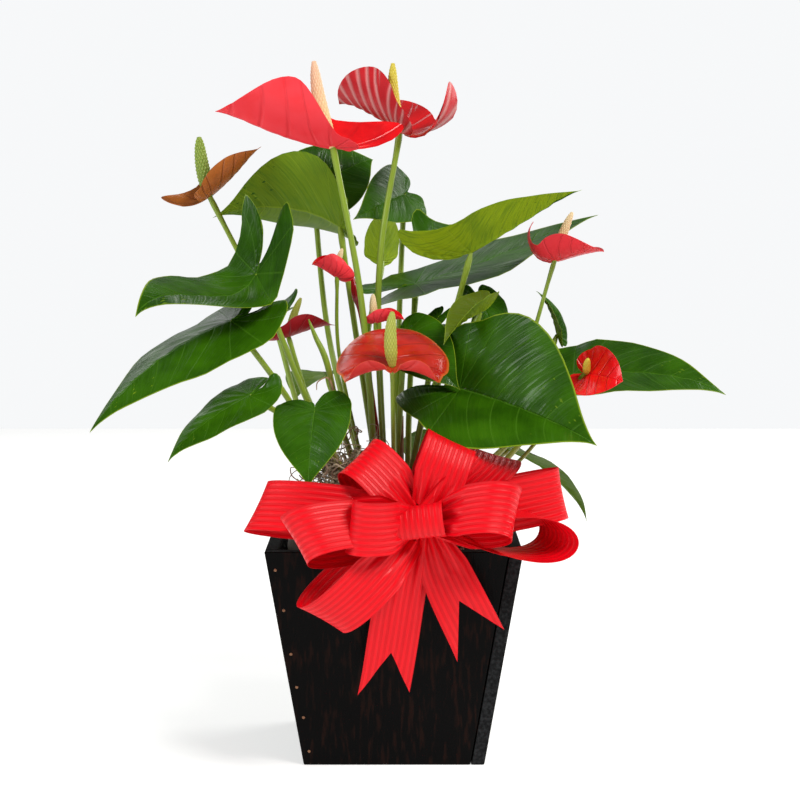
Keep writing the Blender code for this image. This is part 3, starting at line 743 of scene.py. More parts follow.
def sheet_part(middle: Array, above: float, below: float, flat: Array) -> tuple[Array, list, Array]:
    """A closed thin solid along a grid of points.

    Args:
        middle: The grid's points, as rows of columns.
        above: How far the front stands above them.
        below: How far the rear lies below them.
        flat: Three numbers for each point.

    Returns:
        Its points, its groups of faces, and the numbers of each point.
    """
    rows, columns = middle.shape[:2]
    points = middle.reshape(-1, 3)
    quads = ring_faces(rows, columns, False)
    normals = point_normals(points, quads)
    total = len(points)
    j, k = np.arange(rows - 1) * columns, np.arange(columns - 1)
    last = (rows - 1) * columns
    edges = np.vstack([np.column_stack(pair) for pair in (
        (j, j + columns), (j + 2 * columns - 1, j + columns - 1), (k + 1, k), (last + k, last + k + 1))])
    wall = np.column_stack([edges, edges[:, ::-1] + total])
    return (np.vstack([points + normals * above, points - normals * below]),
            [quads, quads[:, ::-1] + total, wall], np.vstack([flat, flat]))


def settle(piece: Piece, slot: str, *nodes: str) -> Piece:
    """Rides a piece on the one body, hides the nodes it replaces, and gives it back."""
    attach(piece, "root")
    if nodes:
        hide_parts(*nodes)
    return piece


class Skin:
    """The points and faces of one piece, gathered part by part."""

    def __init__(self) -> None:
        """Starts with nothing."""
        self.points: list[Array] = []
        self.faces: list[list[int]] = []
        self.slots: list[int] = []
        self.values: dict[str, list[Array]] = {"flat": [], "rim": []}
        self.count = 0

    def add(self, points: Array, faces: Sequence[Array], flat: Array | None = None,
            rim: Array | None = None, slot: int = 0) -> None:
        """Adds a part.

        Args:
            points: Its points, in millimetres.
            faces: Its faces as groups of rows of point numbers.
            flat: Three numbers for each point, for the material.
            rim: Three more.
            slot: Its material's number.
        """
        for group in faces:
            self.faces += (np.asarray(group) + self.count).tolist()
            self.slots += [slot] * len(group)
        empty = np.zeros((len(points), 3))
        self.points.append(np.asarray(points, float))
        self.values["flat"].append(empty if flat is None else flat)
        self.values["rim"].append(empty if rim is None else rim)
        self.count += len(points)

    def build(self, name: str, materials: Sequence[Material], slot: str, *nodes: str,
              sharp: float = 55.0) -> Piece:
        """Makes the piece, rides it on the one body, and hides the nodes that it stands for.

        Args:
            name: The piece's name.
            materials: Its materials in the slots' order.
            slot: The record's material slot, which is not used.
            nodes: The CAD nodes that it replaces.
            sharp: The angle past which an edge isn't smoothed, in degrees.

        Returns:
            The new object.
        """
        mesh = bpy.data.meshes.new(name)
        mesh.from_pydata((np.vstack(self.points) * MM).tolist(), [], self.faces)
        for key, parts in self.values.items():
            held = mesh.attributes.new(key, "FLOAT_VECTOR", "POINT")
            held.data.foreach_set("vector", np.vstack(parts).ravel())
        mesh.polygons.foreach_set("material_index", self.slots)
        for material in materials:
            mesh.materials.append(material)
        mesh.update()
        mesh.shade_smooth()
        mesh.set_sharp_from_angle(angle=radians(sharp))
        piece = bpy.data.objects.new(name, mesh)
        bpy.context.scene.collection.objects.link(piece)
        return settle(piece, slot, *nodes)


def tube_part(path: Array, radii: Array, sides: int, ridges: float = 0.0) -> tuple[Array, list, Array]:
    """A closed round rod along a path.

    Args:
        path: The points of its middle line.
        radii: Its radius at each.
        sides: How many sides it has.
        ridges: How deep its lengthwise ridges are, as a share of the radius.

    Returns:
        Its points, its groups of faces, and (along, around, 0) for each point.
    """
    count = len(path)
    ahead = unit(np.gradient(path, axis=0))
    across = np.array((1.0, 0.0, 0.0))
    turns = full_turn(sides)
    wide = np.outer(radii, 1.0 + ridges * np.cos(5 * turns))
    rows = []
    for spot, way, reach in zip(path, ahead, wide):
        across = unit(across - way * np.dot(across, way))
        ring = np.outer(np.cos(turns), across) + np.outer(np.sin(turns), np.cross(way, across))
        rows.append(spot + reach[:, None] * ring)
    caps = end_caps(count * sides, sides, (count - 1) * sides)
    flat = np.column_stack([np.repeat(np.linspace(0.0, 1.0, count), sides), np.tile(turns / (2 * pi), count),
                            np.zeros(count * sides)])
    return (np.vstack(rows + [path[:1], path[-1:]]), [ring_faces(count, sides), *caps],
            np.vstack([flat, [0, 0, 0], [1, 0, 0]]))


# ---------------------------------------------------------------- the plant


LEAF_OUTLINE = (
    (1.00, 0.000), (0.94, 0.022), (0.84, 0.080), (0.70, 0.180), (0.52, 0.285), (0.32, 0.355),
    (0.10, 0.380), (-0.09, 0.355), (-0.22, 0.275), (-0.28, 0.165), (-0.23, 0.070), (-0.12, 0.018),
    (-0.045, 0.000),
)
SPATHE_OUTLINE = (
    (1.00, 0.000), (0.955, 0.045), (0.87, 0.150), (0.73, 0.275), (0.54, 0.370), (0.33, 0.415),
    (0.10, 0.440), (-0.12, 0.415), (-0.28, 0.320), (-0.33, 0.190), (-0.27, 0.080), (-0.16, 0.020),
    (-0.090, 0.000),
)
LOBE_LENGTH = 0.30
TAPER_EVEN = 0.35
CROWN_Z = 132.0
COLLAR_Z = 192.0
COLLAR_LEAN = 0.14


@dataclass(frozen=True)
class Growth:
    """One leaf or spathe, as it grows: its stalk's route and its blade's attitude.

    The stalk runs from its crown through via to base, and the blade from base to tip. bank turns
    the blade about its length, right side down. arch is how far the midrib bends down along its
    length, droop is more of it at the tip, and dip is a steep start at the base. fold and curl
    lift the halves (left, right), at the midrib and towards the margin. lobes lifts the two back
    lobes and lobe_size lengthens them. belly widens the blade's middle, and taper its halves
    towards the tip at the cost of the base. glow is how far the underside's colour is painted
    brighter, a painted backlight for light shining through it, tone how young the leaf is, and
    wave its margin's height.
    """

    name: str
    crown: Pair
    via: Triple
    base: Triple
    tip: Triple
    width: float = 1.0
    bank: float = 0.0
    arch: float = 20.0
    droop: float = 15.0
    dip: float = 0.0
    fold: Pair = (8.0, 8.0)
    curl: Pair = (0.0, 0.0)
    lobes: Pair = (10.0, 10.0)
    lobe_size: Pair = (1.0, 1.0)
    belly: float = 0.0
    taper: Pair = (0.0, 0.0)
    stem: Pair = (2.6, 1.9)
    painted_backlight: float = 0.3
    tone: float = 0.0
    wave: float = 1.2


@dataclass(frozen=True)
class Flower(Growth):
    """One flower: a Growth whose blade is the spathe, with its spadix."""

    arch: float = 10.0
    droop: float = 20.0
    fold: Pair = (0.0, 0.0)
    curl: Pair = (60.0, 60.0)
    lobes: Pair = (20.0, 20.0)
    belly: float = 0.3
    stem: Pair = (2.8, 2.2)
    painted_backlight: float = 0.0
    wave: float = 0.8
    spadix: Triple = (0.0, 0.0, 40.0)
    spadix_radius: float = 4.0
    red: Red = Red.BRIGHT
    florets: str = "cream"
    bumps: float = 0.45
    emboss: float = 0.35


LEAVES = (
    Growth("left_chair", (-24, -8), (-66, -20, 270), (-104, -28, 368), (-187, -95, 339),
           arch=0, droop=70, dip=75, fold=(5, 5), lobes=(24, 56), lobe_size=(1.8, 1.85), bank=-14,
           width=1.0, taper=(0.6, 0.9)),
    Growth("left_long", (-29, -16), (-80, -38, 274), (-122, -52, 334), (-220, -95, 254),
           arch=35, droop=0, bank=4, fold=(-30, 6), lobes=(30, 70), width=0.85, painted_backlight=0.7),
    Growth("left_low", (-23, -24), (-66, -58, 250), (-106, -80, 281), (-163, -110, 235),
           fold=(-25, 12), lobes=(60, 10), width=0.8),
    Growth("front_heart", (-10, -30), (-40, -60, 225), (-58, -85, 270), (-62, -112, 217),
           arch=25, droop=0, width=1.3, lobes=(0, 10), lobe_size=(1.0, 0.5), fold=(12, 5)),
    Growth("upper_left", (-8, 11), (-30, 19, 320), (-42, 20, 403), (-144, 60, 408),
           bank=45, arch=60, curl=(45, 30), lobes=(20, 20), lobe_size=(0.4, 0.3), belly=0.9,
           width=0.66, painted_backlight=0.4),
    Growth("top_back", (-16, 20), (-53, 88, 310), (-66, 96, 432), (-18, 136, 456),
           bank=50, arch=30, width=1.3),
    Growth("top_centre", (0, 27), (4, 124, 330), (8, 76, 428), (-32, 20, 408),
           bank=-60, arch=30, lobes=(20, 20), width=0.95, lobe_size=(0.8, 0.9)),
    Growth("back_v", (-8, 34), (-24, 100, 290), (-10, 150, 372), (-8, 122, 414),
           fold=(50, 50), arch=20, width=1.2, lobe_size=(0.5, 0.5), painted_backlight=1.0),
    Growth("upper_right", (14, -3), (38, 9, 300), (58, -25, 384), (141, -35, 429),
           arch=-5, fold=(40, 42), curl=(10, 5), lobes=(130, 75), lobe_size=(2.8, 2.5), painted_backlight=0.9),
    Growth("right_broad", (10, 12), (12, 34, 270), (17, 50, 357), (164, 80, 411),
           bank=5, arch=-15, fold=(2, 0), lobes=(0, -10)),
    Growth("right_inner", (18, 15), (46, 22, 270), (67, 22, 346), (79, -2, 302),
           arch=40, lobes=(20, 20), width=0.9),
    Growth("young_olive", (10, -14), (36, 2, 268), (66, -13, 338), (37, -50, 316),
           fold=(50, 50), width=0.9, lobe_size=(1.6, 1.6), lobes=(30, 30), tone=0.8, painted_backlight=0.8),
    Growth("front_centre", (4, -6), (4, -6, 250), (8, -6, 319), (50, -38, 280),
           arch=30, droop=0, width=1.0, bank=45, lobes=(0, 10), lobe_size=(0.7, 0.8), belly=0.1),
    Growth("front_large", (20, -12), (36, -22, 220), (50, -30, 281), (149, -85, 244),
           bank=50, arch=25, fold=(30, 26), lobes=(0, 0), width=1.15, lobe_size=(1.0, 1.2), belly=0.4),
    Growth("right_far", (29, -2), (86, 2, 222), (139, 10, 288), (254, -20, 277),
           bank=18, arch=25, fold=(10, 0), lobes=(40, 10)),
    Growth("inner_dark", (8, 2), (24, 6, 270), (34, 10, 332), (10, -6, 300),
           arch=20, width=0.9),
    Growth("left_back", (-24, 12), (-70, 50, 240), (-98, 78, 330), (-154, 90, 301),
           arch=20, lobes=(20, 60), lobe_size=(1.2, 1.6), bank=-15, painted_backlight=0.7),
    Growth("right_back", (22, 7), (52, 34, 260), (76, 48, 329), (126, 46, 306),
           bank=12, arch=10),
    Growth("small_folded", (31, 6), (98, 34, 242), (130, 58, 316), (114, 64, 351),
           fold=(35, 35), width=0.7, painted_backlight=0.6),
    Growth("low_right", (22, 24), (56, 54, 200), (92, 70, 222), (156, 88, 160),
           arch=40),
    Growth("low_back", (12, 24), (26, 62, 194), (36, 90, 226), (30, 142, 174),
           arch=40),
    Growth("back_middle", (8, 32), (28, 84, 262), (56, 100, 316), (104, 150, 282),
           arch=40),
    Growth("back_left", (-17, 30), (-38, 70, 225), (-56, 112, 280), (-86, 168, 252),
           arch=40),
)

FLOWERS = (
    Flower("tall_left", (-12, -14), (-24, -20, 340), (-46, -30, 462), (-131, -60, 488),
           spadix=(-14, 5, 65), fold=(25, 40), curl=(42, 20), lobes=(0, 30), lobe_size=(0.6, 2.1),
           arch=-20, belly=0.5, width=0.76, taper=(1.5, 0.0), spadix_radius=5.4, florets="peach"),
    Flower("tall_right", (-6, -2), (-12, 6, 360), (4, 26, 476), (-44, 76, 499),
           spadix=(-5, 5, 53), fold=(30, 6), curl=(60, 15), lobes=(30, 125), lobe_size=(1.0, 3.0),
           width=1.12, taper=(0.5, 0.0), spadix_radius=4.6, florets="yellow", emboss=0.9,
           red=Red.SILVER),
    Flower("faded", (-31, -3), (-82, 31, 301), (-143, 22, 426), (-104, 32, 465),
           spadix=(-8, 0, 46), spadix_radius=5.2, bank=-5, curl=(110, 110), width=0.75,
           stem=(2.4, 1.9), arch=-20, lobes=(60, 60), lobe_size=(2.2, 0.8), red=Red.FADED,
           florets="green", bumps=1.0),
    Flower("right_small", (26, -9), (92, -2, 280), (124, 0, 377), (158, -30, 384),
           spadix=(13, 5, 37), fold=(-8, 15), curl=(30, 40), stem=(2.0, 1.5), spadix_radius=3.7,
           width=1.05, lobes=(40, 140), lobe_size=(1.0, 3.4)),
    Flower("right_front", (25, -18), (96, -26, 226), (143, -60, 295), (167, -90, 292),
           spadix=(0, -12, 12), bank=60, curl=(30, 30), stem=(1.8, 1.4), spadix_radius=2.8,
           width=1.1, lobes=(40, 40), lobe_size=(1.0, 1.1), florets="yellow"),
    Flower("front", (2, -26), (0, -62, 235), (-1, -90, 303), (-1, -26, 327),
           spadix=(0, -4, 40), lobes=(95, 95), curl=(-28, -28), width=1.25, arch=20, fold=(4, 4),
           spadix_radius=4.6, stem=(2.0, 1.8), red=Red.WARM, florets="lime"),
    Flower("left_dark", (-23, 1), (-56, -2, 240), (-82, 8, 318), (-46, 12, 326),
           spadix=(10, 0, 30), curl=(20, 50), stem=(2.0, 1.6), spadix_radius=3.0,
           width=1.2, lobe_size=(1.6, 1.6), red=Red.DEEP, florets="lime"),
    Flower("left_small", (-16, 4), (-42, 4, 300), (-45, 6, 364), (-63, -4, 374),
           spadix=(5, 4, 22), fold=(20, 0), curl=(60, 60), stem=(1.8, 1.3), spadix_radius=2.6,
           width=1.5, lobe_size=(1.8, 1.8)),
    Flower("inner_small", (-5, -9), (-10, -12, 250), (-14, -16, 330), (8, -24, 333),
           spadix=(-2, 0, 22), stem=(1.8, 1.3), spadix_radius=3.0, fold=(15, 15)),
)


class Blade:
    """A heart-shaped blade, bent from its flat outline onto its midrib."""

    STEPS = 80
    CURL_SPAN = 0.38
    SOFT_MIDDLE = 0.06
    VEINS = 6.5
    FANS = 2.3
    FAN_START = 0.9
    VEIN_SLOPE = 0.75
    VEIN_SWEEP = 1.1
    RIB_HALF = 0.016
    RIB_SUNK = 0.35
    RIB_RAISED = 1.1
    MARGIN_THINNED = 0.55
    RING_SPACING = 0.85
    WAVES = ((1.0, 3.0, 1.0), (0.6, 7.0, 2.0), (0.3, 13.0, 1.0))

    def __init__(self, growth: Growth, outline: Sequence[Pair]) -> None:
        """Works out the blade's directions and its midrib."""
        self.growth = growth
        self.base = np.array(growth.base, float)
        reach = np.array(growth.tip, float) - self.base
        self.length = float(np.linalg.norm(reach))
        self.forward = reach / self.length
        up = unit(np.array((0.0, 0.0, 1.0)) - self.forward[2] * self.forward)
        right = np.cross(self.forward, up)
        bank = radians(growth.bank)
        self.up = up * cos(bank) + right * sin(bank)
        self.right = np.cross(self.forward, self.up)
        self.outline = outline
        self.lay_midrib(radians(growth.arch), radians(growth.droop), radians(growth.dip))

    def lay_midrib(self, arch: float, droop: float, dip: float) -> None:
        """Finds the midrib's points and headings in its own upright plane, scaled to reach the tip.

        Args:
            arch: How far it bends down along its length.
            droop: More bend near the tip.
            dip: A steep start at the base.
        """
        s = np.arange(self.STEPS + 1) / self.STEPS
        heading = (arch * (0.5 - s) - droop * np.maximum(0.0, (s - 0.6) / 0.4) ** 2
                   - dip * np.maximum(0.0, 1.0 - s / 0.35) ** 1.5)
        middle = 0.5 * (heading[:-1] + heading[1:])
        x = np.concatenate([[0.0], np.cumsum(np.cos(middle))]) / self.STEPS
        z = np.concatenate([[0.0], np.cumsum(np.sin(middle))]) / self.STEPS
        tilt = np.arctan2(z[-1], x[-1])
        self.scale = self.length / np.hypot(x[-1], z[-1])
        self.steps = s
        self.heading = heading - tilt
        self.rib_x = self.scale * (x * cos(tilt) + z * sin(tilt))
        self.rib_z = self.scale * (z * cos(tilt) - x * sin(tilt))

    def points(self, s: Array, t: Array) -> Array:
        """Places of the flat outline's points.

        Args:
            s: Along the midrib, in parts of its length, below 0 in the lobes.
            t: Across it, right side above 0.

        Returns:
            The places in millimetres, one to a row.
        """
        growth = self.growth
        side = (t >= 0.0).astype(int)
        blend = np.minimum(1.0, np.abs(t) / self.SOFT_MIDDLE)
        back_part = np.maximum(0.0, -s)
        lift = np.radians(np.array(growth.lobes)[side]) * blend * back_part / LOBE_LENGTH
        long = back_part * (1.0 + (np.array(growth.lobe_size)[side] - 1.0) * blend) * self.scale
        back, rise = bent(long, np.zeros_like(s), lift)
        start = self.heading[0]
        ahead = s >= 0.0
        x = np.where(ahead, np.interp(s, self.steps, self.rib_x), -back * cos(start) - rise * sin(start))
        z = np.where(ahead, np.interp(s, self.steps, self.rib_z), -back * sin(start) + rise * cos(start))
        heading = np.where(ahead, np.interp(s, self.steps, self.heading), start - lift)
        wide = 1.0 + 4.0 * growth.belly * np.maximum(0.0, s) * (1.0 - s)
        wide *= 1.0 + np.array(growth.taper)[side] * (np.maximum(0.0, s) - TAPER_EVEN)
        span = np.abs(t) * growth.width * wide
        curl = np.radians(np.array(growth.curl)[side]) * span / self.CURL_SPAN
        out, rise = bent(span * self.scale, np.radians(np.array(growth.fold)[side]), curl)
        out = np.where(side == 1, out, -out)
        x = x - rise * np.sin(heading)
        z = z + rise * np.cos(heading)
        return self.base + np.outer(x, self.forward) + np.outer(z, self.up) + np.outer(out, self.right)

    def normal(self) -> Array:
        """The upward normal where the stalk meets the blade."""
        start = self.heading[0]
        return -sin(start) * self.forward + cos(start) * self.up

    def relief(self, s: Array, t: Array, part: Array, swell: float, seed: float) -> Array:
        """How far the surface stands above the smooth blade.

        Args:
            s: Along the midrib.
            t: Across it.
            part: From 0 at the base to 1 at the margin.
            swell: How far it swells between the veins, in millimetres.
            seed: A number that makes this blade's waves its own.

        Returns:
            The heights in millimetres.
        """
        a = np.abs(t)
        lean = s - self.VEIN_SLOPE * a - self.VEIN_SWEEP * a * a
        side = np.abs((lean * self.VEINS) % 1.0 - 0.5)
        fan = np.abs(((np.arctan2(a, s) - self.FAN_START) * self.FANS) % 1.0 - 0.5)
        between = np.where(lean < 0.0, fan, side) * 2.0
        fade = np.clip(part * 2.5, 0.0, 1.0) * np.clip((1.02 - part) * 6.0, 0.0, 1.0)
        turn = np.arctan2(t, s + 0.05)
        wave = sum(high * np.sin(count * turn + shift * seed) for high, count, shift in self.WAVES)
        return (swell * (0.5 - 0.5 * np.cos(pi * between)) * fade
                + self.growth.wave * self.scale / 100.0 * wave * part**3)

    def add_to(self, skin: Skin, rays: int, rings: int, hole: float, thickness: float, swell: float,
               seed: float) -> None:
        """Adds the blade to a piece as a thin closed solid.

        Args:
            skin: The piece.
            rays: How many rays each half has.
            rings: How many rings there are from the base to the margin.
            hole: The radius of the hole round a stalk, or 0.
            thickness: The blade's thickness.
            swell: How far it swells between the veins.
            seed: The seed of its waves.
        """
        half = spline(self.outline, np.arange(rays + 1) / rays)
        rim = np.vstack([half, half[-2:0:-1] * (1, -1)])
        hub = max(hole, 0.4) / self.scale
        reach = np.maximum(np.hypot(*rim.T), 1e-6)[:, None]
        if hole:
            rim = rim * np.maximum(1.0, (hub + 0.04) / reach)
            reach = np.maximum(np.hypot(*rim.T), 1e-6)[:, None]
        near = rim * np.minimum(hub / reach, 0.5)
        slim = self.growth.width * (1.0 - TAPER_EVEN * np.array(self.growth.taper))
        near[:, 1] /= np.where(rim[:, 1] >= 0.0, slim[1], slim[0])
        count = len(rim)
        parts = (np.arange(rings + 1) / rings) ** self.RING_SPACING
        part = np.repeat(parts, count)
        s, t = np.vstack([near + (rim - near) * out for out in parts]).T
        t = np.where(np.tile(np.arange(count) <= rays, rings + 1), np.abs(t), -np.abs(t))
        quads = ring_faces(rings + 1, count)
        smooth = self.points(s, t)
        smooth = smooth + point_normals(smooth, quads) * self.relief(s, t, part, swell, seed)[:, None]
        normals = point_normals(smooth, quads)
        rib = swelling(t, 0.0, self.RIB_HALF) * np.clip(1.0 - s, 0.0, 1.0) * np.clip(s * 12.0 + 0.6, 0.0, 1.0)
        thin = 0.5 * thickness * (1.0 - self.MARGIN_THINNED * part**6)
        sides = [smooth + normals * (thin - self.RIB_SUNK * rib)[:, None],
                 smooth - normals * (thin + self.RIB_RAISED * rib * self.scale / 100.0)[:, None]]
        ones = np.ones(len(s))
        flats = [np.column_stack([s, t, under * ones]) for under in (0.0, 1.0)]
        rims = [np.column_stack([part, self.growth.painted_backlight * ones, self.growth.tone * ones])] * 2
        total, outer = len(smooth), rings * count
        k = np.arange(count)
        after = (k + 1) % count
        faces = [quads, quads[:, ::-1] + total,
                 np.column_stack([outer + k, outer + after, total + outer + after, total + outer + k])]
        if hole:
            faces.append(np.column_stack([after, k, total + k, total + after]))
        else:
            faces += end_caps(2 * total, count, total)
            flats += [value[:1] * (0, 0, 1) for value in flats]
            rims += [value[:1] for value in rims]
            sides += [value[:count].mean(0)[None] for value in sides]
        skin.add(np.vstack(sides), faces, np.vstack(flats), np.vstack(rims))


def stem_route(growth: Growth, end: Array, count: int) -> Array:
    """Points of a stalk: from its crown, upright through the moss, then through via to its end.

    Args:
        growth: The leaf or flower.
        end: Where the stalk ends.
        count: How many points to give.

    Returns:
        The points in millimetres, evenly spread along the curve's parameter.
    """
    start = np.array((*growth.crown, CROWN_Z), float)
    via = np.array(growth.via, float)
    collar = start + (via - start) * COLLAR_LEAN
    collar[2] = min(COLLAR_Z, 0.5 * (CROWN_Z + via[2]))
    return spline([start, collar, via, end], np.arange(count) / (count - 1))


@dataclass
class Foliage:
    """All the leaves, each a blade on its petiole.

    knee is the petiole's swelling under the blade: its height, its place along the petiole and its
    length. foot is the height and the length of the swelling in the soil.
    """

    leaf: Material
    stalk: Material
    rays: int = 34
    rings: int = 15
    thickness: float = 0.55
    swell: float = 0.9
    sides: int = 12
    steps: int = 44
    ridges: float = 0.03
    stoutness: float = 1.12
    knee: Triple = (0.45, 0.955, 0.03)
    foot: Pair = (0.9, 0.04)

    def build(self) -> list[Piece]:
        """Builds every leaf, and gives the pieces."""
        return [self.build_one(growth, number) for number, growth in enumerate(LEAVES)]

    def build_one(self, growth: Growth, number: int) -> Piece:
        """Builds one leaf.

        Args:
            growth: Its shape.
            number: Its place in the table, which seeds its waves.

        Returns:
            The piece.
        """
        blade = Blade(growth, LEAF_OUTLINE)
        skin = Skin()
        blade.add_to(skin, self.rays, self.rings, 0.0, self.thickness, self.swell, 1.7 * number)
        route = stem_route(growth, blade.base - blade.normal() * 0.3, self.steps)
        part = np.linspace(0.0, 1.0, self.steps)
        thick, thin = growth.stem
        radii = (self.stoutness * (thick + (thin - thick) * part**0.6)
                 + self.knee[0] * swelling(part, *self.knee[1:])
                 + self.foot[0] * np.exp(-part / self.foot[1]))
        radii[-1] *= 0.6
        skin.add(*tube_part(route, radii, self.sides, self.ridges), slot=1)
        return skin.build(f"foliage_{growth.name}", (self.leaf, self.stalk), "leaf_green",
                          f"leaf_{growth.name}")


@dataclass
class Inflorescence:
    """All the flowers: stalk, spathe and spadix, with the materials by red and by florets' name.

    collar and foot swell the stalk as knee and foot swell a leaf's petiole.
    """

    reds: dict[Red, Material]
    florets: dict[str, Material]
    stalk: Material
    rays: int = 40
    rings: int = 18
    thickness: float = 0.7
    sides: int = 14
    steps: int = 48
    ridges: float = 0.02
    collar: Triple = (0.5, 0.975, 0.02)
    foot: Pair = (0.8, 0.04)
    around: int = 12
    spadix_sides: int = 72
    spadix_rows: int = 150
    spadix_bow: float = 0.035
    floret_foot: float = 0.4
    spadix_shape: tuple = (0.55, 0.92, 1.0, 0.95, 0.84, 0.66, 0.30)

    def build(self) -> list[Piece]:
        """Builds every flower, and gives the pieces."""
        pieces = []
        for number, flower in enumerate(FLOWERS):
            blade = Blade(flower, SPATHE_OUTLINE)
            pieces += [self.build_spathe(flower, blade, number), self.build_stalk(flower, blade),
                       self.build_spadix(flower, blade)]
        return pieces

    def build_spathe(self, flower: Flower, blade: Blade, number: int) -> Piece:
        """Builds one spathe.

        Args:
            flower: Its shape.
            blade: Its blade.
            number: Its place in the table, which seeds its waves.

        Returns:
            The piece.
        """
        skin = Skin()
        blade.add_to(skin, self.rays, self.rings, flower.stem[1] * 0.9, self.thickness, flower.emboss,
                     2.3 * number)
        return skin.build(f"spathe_{flower.name}", (self.reds[flower.red],), "spathe_red",
                          f"bloom_{flower.name}_spathe")

    def build_stalk(self, flower: Flower, blade: Blade) -> Piece:
        """Builds one flower stalk, which ends inside the spadix.

        Args:
            flower: Its shape.
            blade: Its spathe's blade.

        Returns:
            The piece.
        """
        skin = Skin()
        route = stem_route(flower, blade.base + blade.normal() * 1.5, self.steps)
        part = np.linspace(0.0, 1.0, self.steps)
        thick, thin = flower.stem
        radii = (thick + (thin - thick) * part + self.collar[0] * swelling(part, *self.collar[1:])
                 + self.foot[0] * np.exp(-part / self.foot[1]))
        skin.add(*tube_part(route, radii, self.sides, self.ridges))
        return skin.build(f"stalk_{flower.name}", (self.stalk,), "stalk_green", f"bloom_{flower.name}_stalk")

    def build_spadix(self, flower: Flower, blade: Blade) -> Piece:
        """Builds one spadix, packed with florets along two crossing spirals.

        Args:
            flower: Its shape.
            blade: Its spathe's blade.

        Returns:
            The piece.
        """
        rows, sides = self.spadix_rows, self.spadix_sides
        axis = np.array(flower.spadix, float)
        long = float(np.linalg.norm(axis))
        lean = np.cross(axis / long, (0.3, 1.0, 0.0))
        part = np.linspace(0.0, 1.0, rows)
        route = blade.base + np.outer(part, axis) + np.outer(self.spadix_bow * long * np.sin(pi * part), lean)
        share = spline(self.spadix_shape, part**1.1)[:, 0]
        share[-1] = 0.04
        points, faces, flat = tube_part(route, flower.spadix_radius * share, sides)
        turn, along = np.tile(full_turn(sides), rows), np.repeat(part, sides)
        pitch = 0.5 * self.around * long / flower.spadix_radius
        first = 0.5 + 0.5 * np.cos(pitch * along + self.around * turn)
        second = 0.5 + 0.5 * np.cos(pitch * along - self.around * turn)
        crown = (first * second) ** 0.6
        body = points[: rows * sides]
        fade = np.clip((1.0 - along) * 12.0, 0.0, 1.0) * np.clip(along * 20.0, 0.0, 1.0)
        raised = flower.bumps * (crown - self.floret_foot) * fade
        body += unit(body - np.repeat(route, sides, axis=0)) * raised[:, None]
        flat[: rows * sides] = np.column_stack([along, crown, np.zeros(rows * sides)])
        skin = Skin()
        skin.add(points, faces, flat)
        return skin.build(f"spadix_{flower.name}", (self.florets[flower.florets],), "stalk_green",
                          f"bloom_{flower.name}_stalk", sharp=80.0)


@dataclass
class Shoots:
    """The rolled young leaf, the unopened bud, the dry sheaths at the stalks' feet and a dry tendril."""

    stalk: Material
    red: Material
    sheath: Material
    spear: tuple = ((-16, -21, 132), (-20, -21, 192), (-40, -22, 250), (-51, -22, 299),
                    (-60, -20, 320), (-65, -20, 333))
    spear_radii: tuple = (2.6, 2.6, 2.2, 2.4, 1.8, 0.5)
    bud: tuple = ((-2, 6, 132), (-4, 7, 192), (-14, 10, 250), (-25, 10, 330), (-29, 10, 350), (-33, 10, 366))
    bud_radii: tuple = (2.0, 2.0, 1.7, 1.8, 4.2, 0.6)
    tendril: tuple = ((-44, -70, 268), (-45, -72, 285), (-49, -73, 293), (-56, -74, 290), (-57, -73, 284))
    steps: int = 60
    sides: int = 14
    ridges: float = 0.05
    tendril_steps: int = 40
    tendril_sides: int = 6
    sheath_rows: int = 26
    sheath_columns: int = 9
    sheath_thickness: float = 0.35
    sheaths: tuple = (
        ((-14, -28, 150), (-26, -34, 232), 8.0), ((4, -30, 150), (6, -40, 262), 7.0),
        ((-6, -26, 150), (-12, -34, 250), 8.0), ((16, -24, 150), (26, -34, 236), 7.0),
        ((-24, -10, 150), (-40, -20, 228), 8.0), ((24, -6, 150), (42, -10, 232), 7.0),
        ((0, 30, 150), (2, 44, 236), 8.0), ((-20, 26, 150), (-32, 40, 226), 7.0),
    )

    def build(self) -> None:
        """Builds the shoots."""
        for name, node, slot, spots, radii, material in (
            ("spear_young", "young_spear", "leaf_green", self.spear, self.spear_radii, self.stalk),
            ("bud_closed", "flower_bud", "spathe_red", self.bud, self.bud_radii, self.red),
        ):
            part = np.linspace(0.0, 1.0, self.steps)
            skin = Skin()
            skin.add(*tube_part(spline(spots, part), spline(radii, part)[:, 0], self.sides, self.ridges))
            skin.build(name, (material,), slot, node)
        skin = Skin()
        for number, (low, high, width) in enumerate(self.sheaths):
            self.add_sheath(skin, np.array(low, float), np.array(high, float), width, number)
        part = np.linspace(0.0, 1.0, self.tendril_steps)
        skin.add(*tube_part(spline(self.tendril, part), 0.9 - 0.6 * part, self.tendril_sides))
        skin.build("dry_sheaths", (self.sheath,), "stalk_green")

    def add_sheath(self, skin: Skin, low: Array, high: Array, width: float, number: int) -> None:
        """Adds one dry sheath: a trough that narrows to a curling point.

        Args:
            skin: The piece.
            low: Its foot.
            high: Its tip.
            width: Its width at the foot.
            number: Which one it is, which turns it.
        """
        part = np.linspace(0.0, 1.0, self.sheath_rows)[:, None]
        spread = np.linspace(-1.0, 1.0, self.sheath_columns)
        out = unit(np.array((low[0], low[1], 0.0)))
        side = np.cross((0.0, 0.0, 1.0), out)
        curl = 5.0 * part**3 * (1.0 + 0.4 * sin(2.1 * number))
        wide = 0.5 * width * (1.0 - part**1.6) + 0.3
        trough = wide * (0.55 - 0.55 * spread**2 + 0.10 * np.sin(7 * spread + number))
        middle = (low + part * (high - low) + curl * out)[:, None, :]
        front = middle + (wide * spread)[:, :, None] * side + trough[:, :, None] * out
        flat = np.column_stack([np.repeat(part, len(spread)), np.tile(spread, len(part)),
                                np.zeros(trough.size)])
        skin.add(*sheet_part(front, 0.0, self.sheath_thickness, flat))


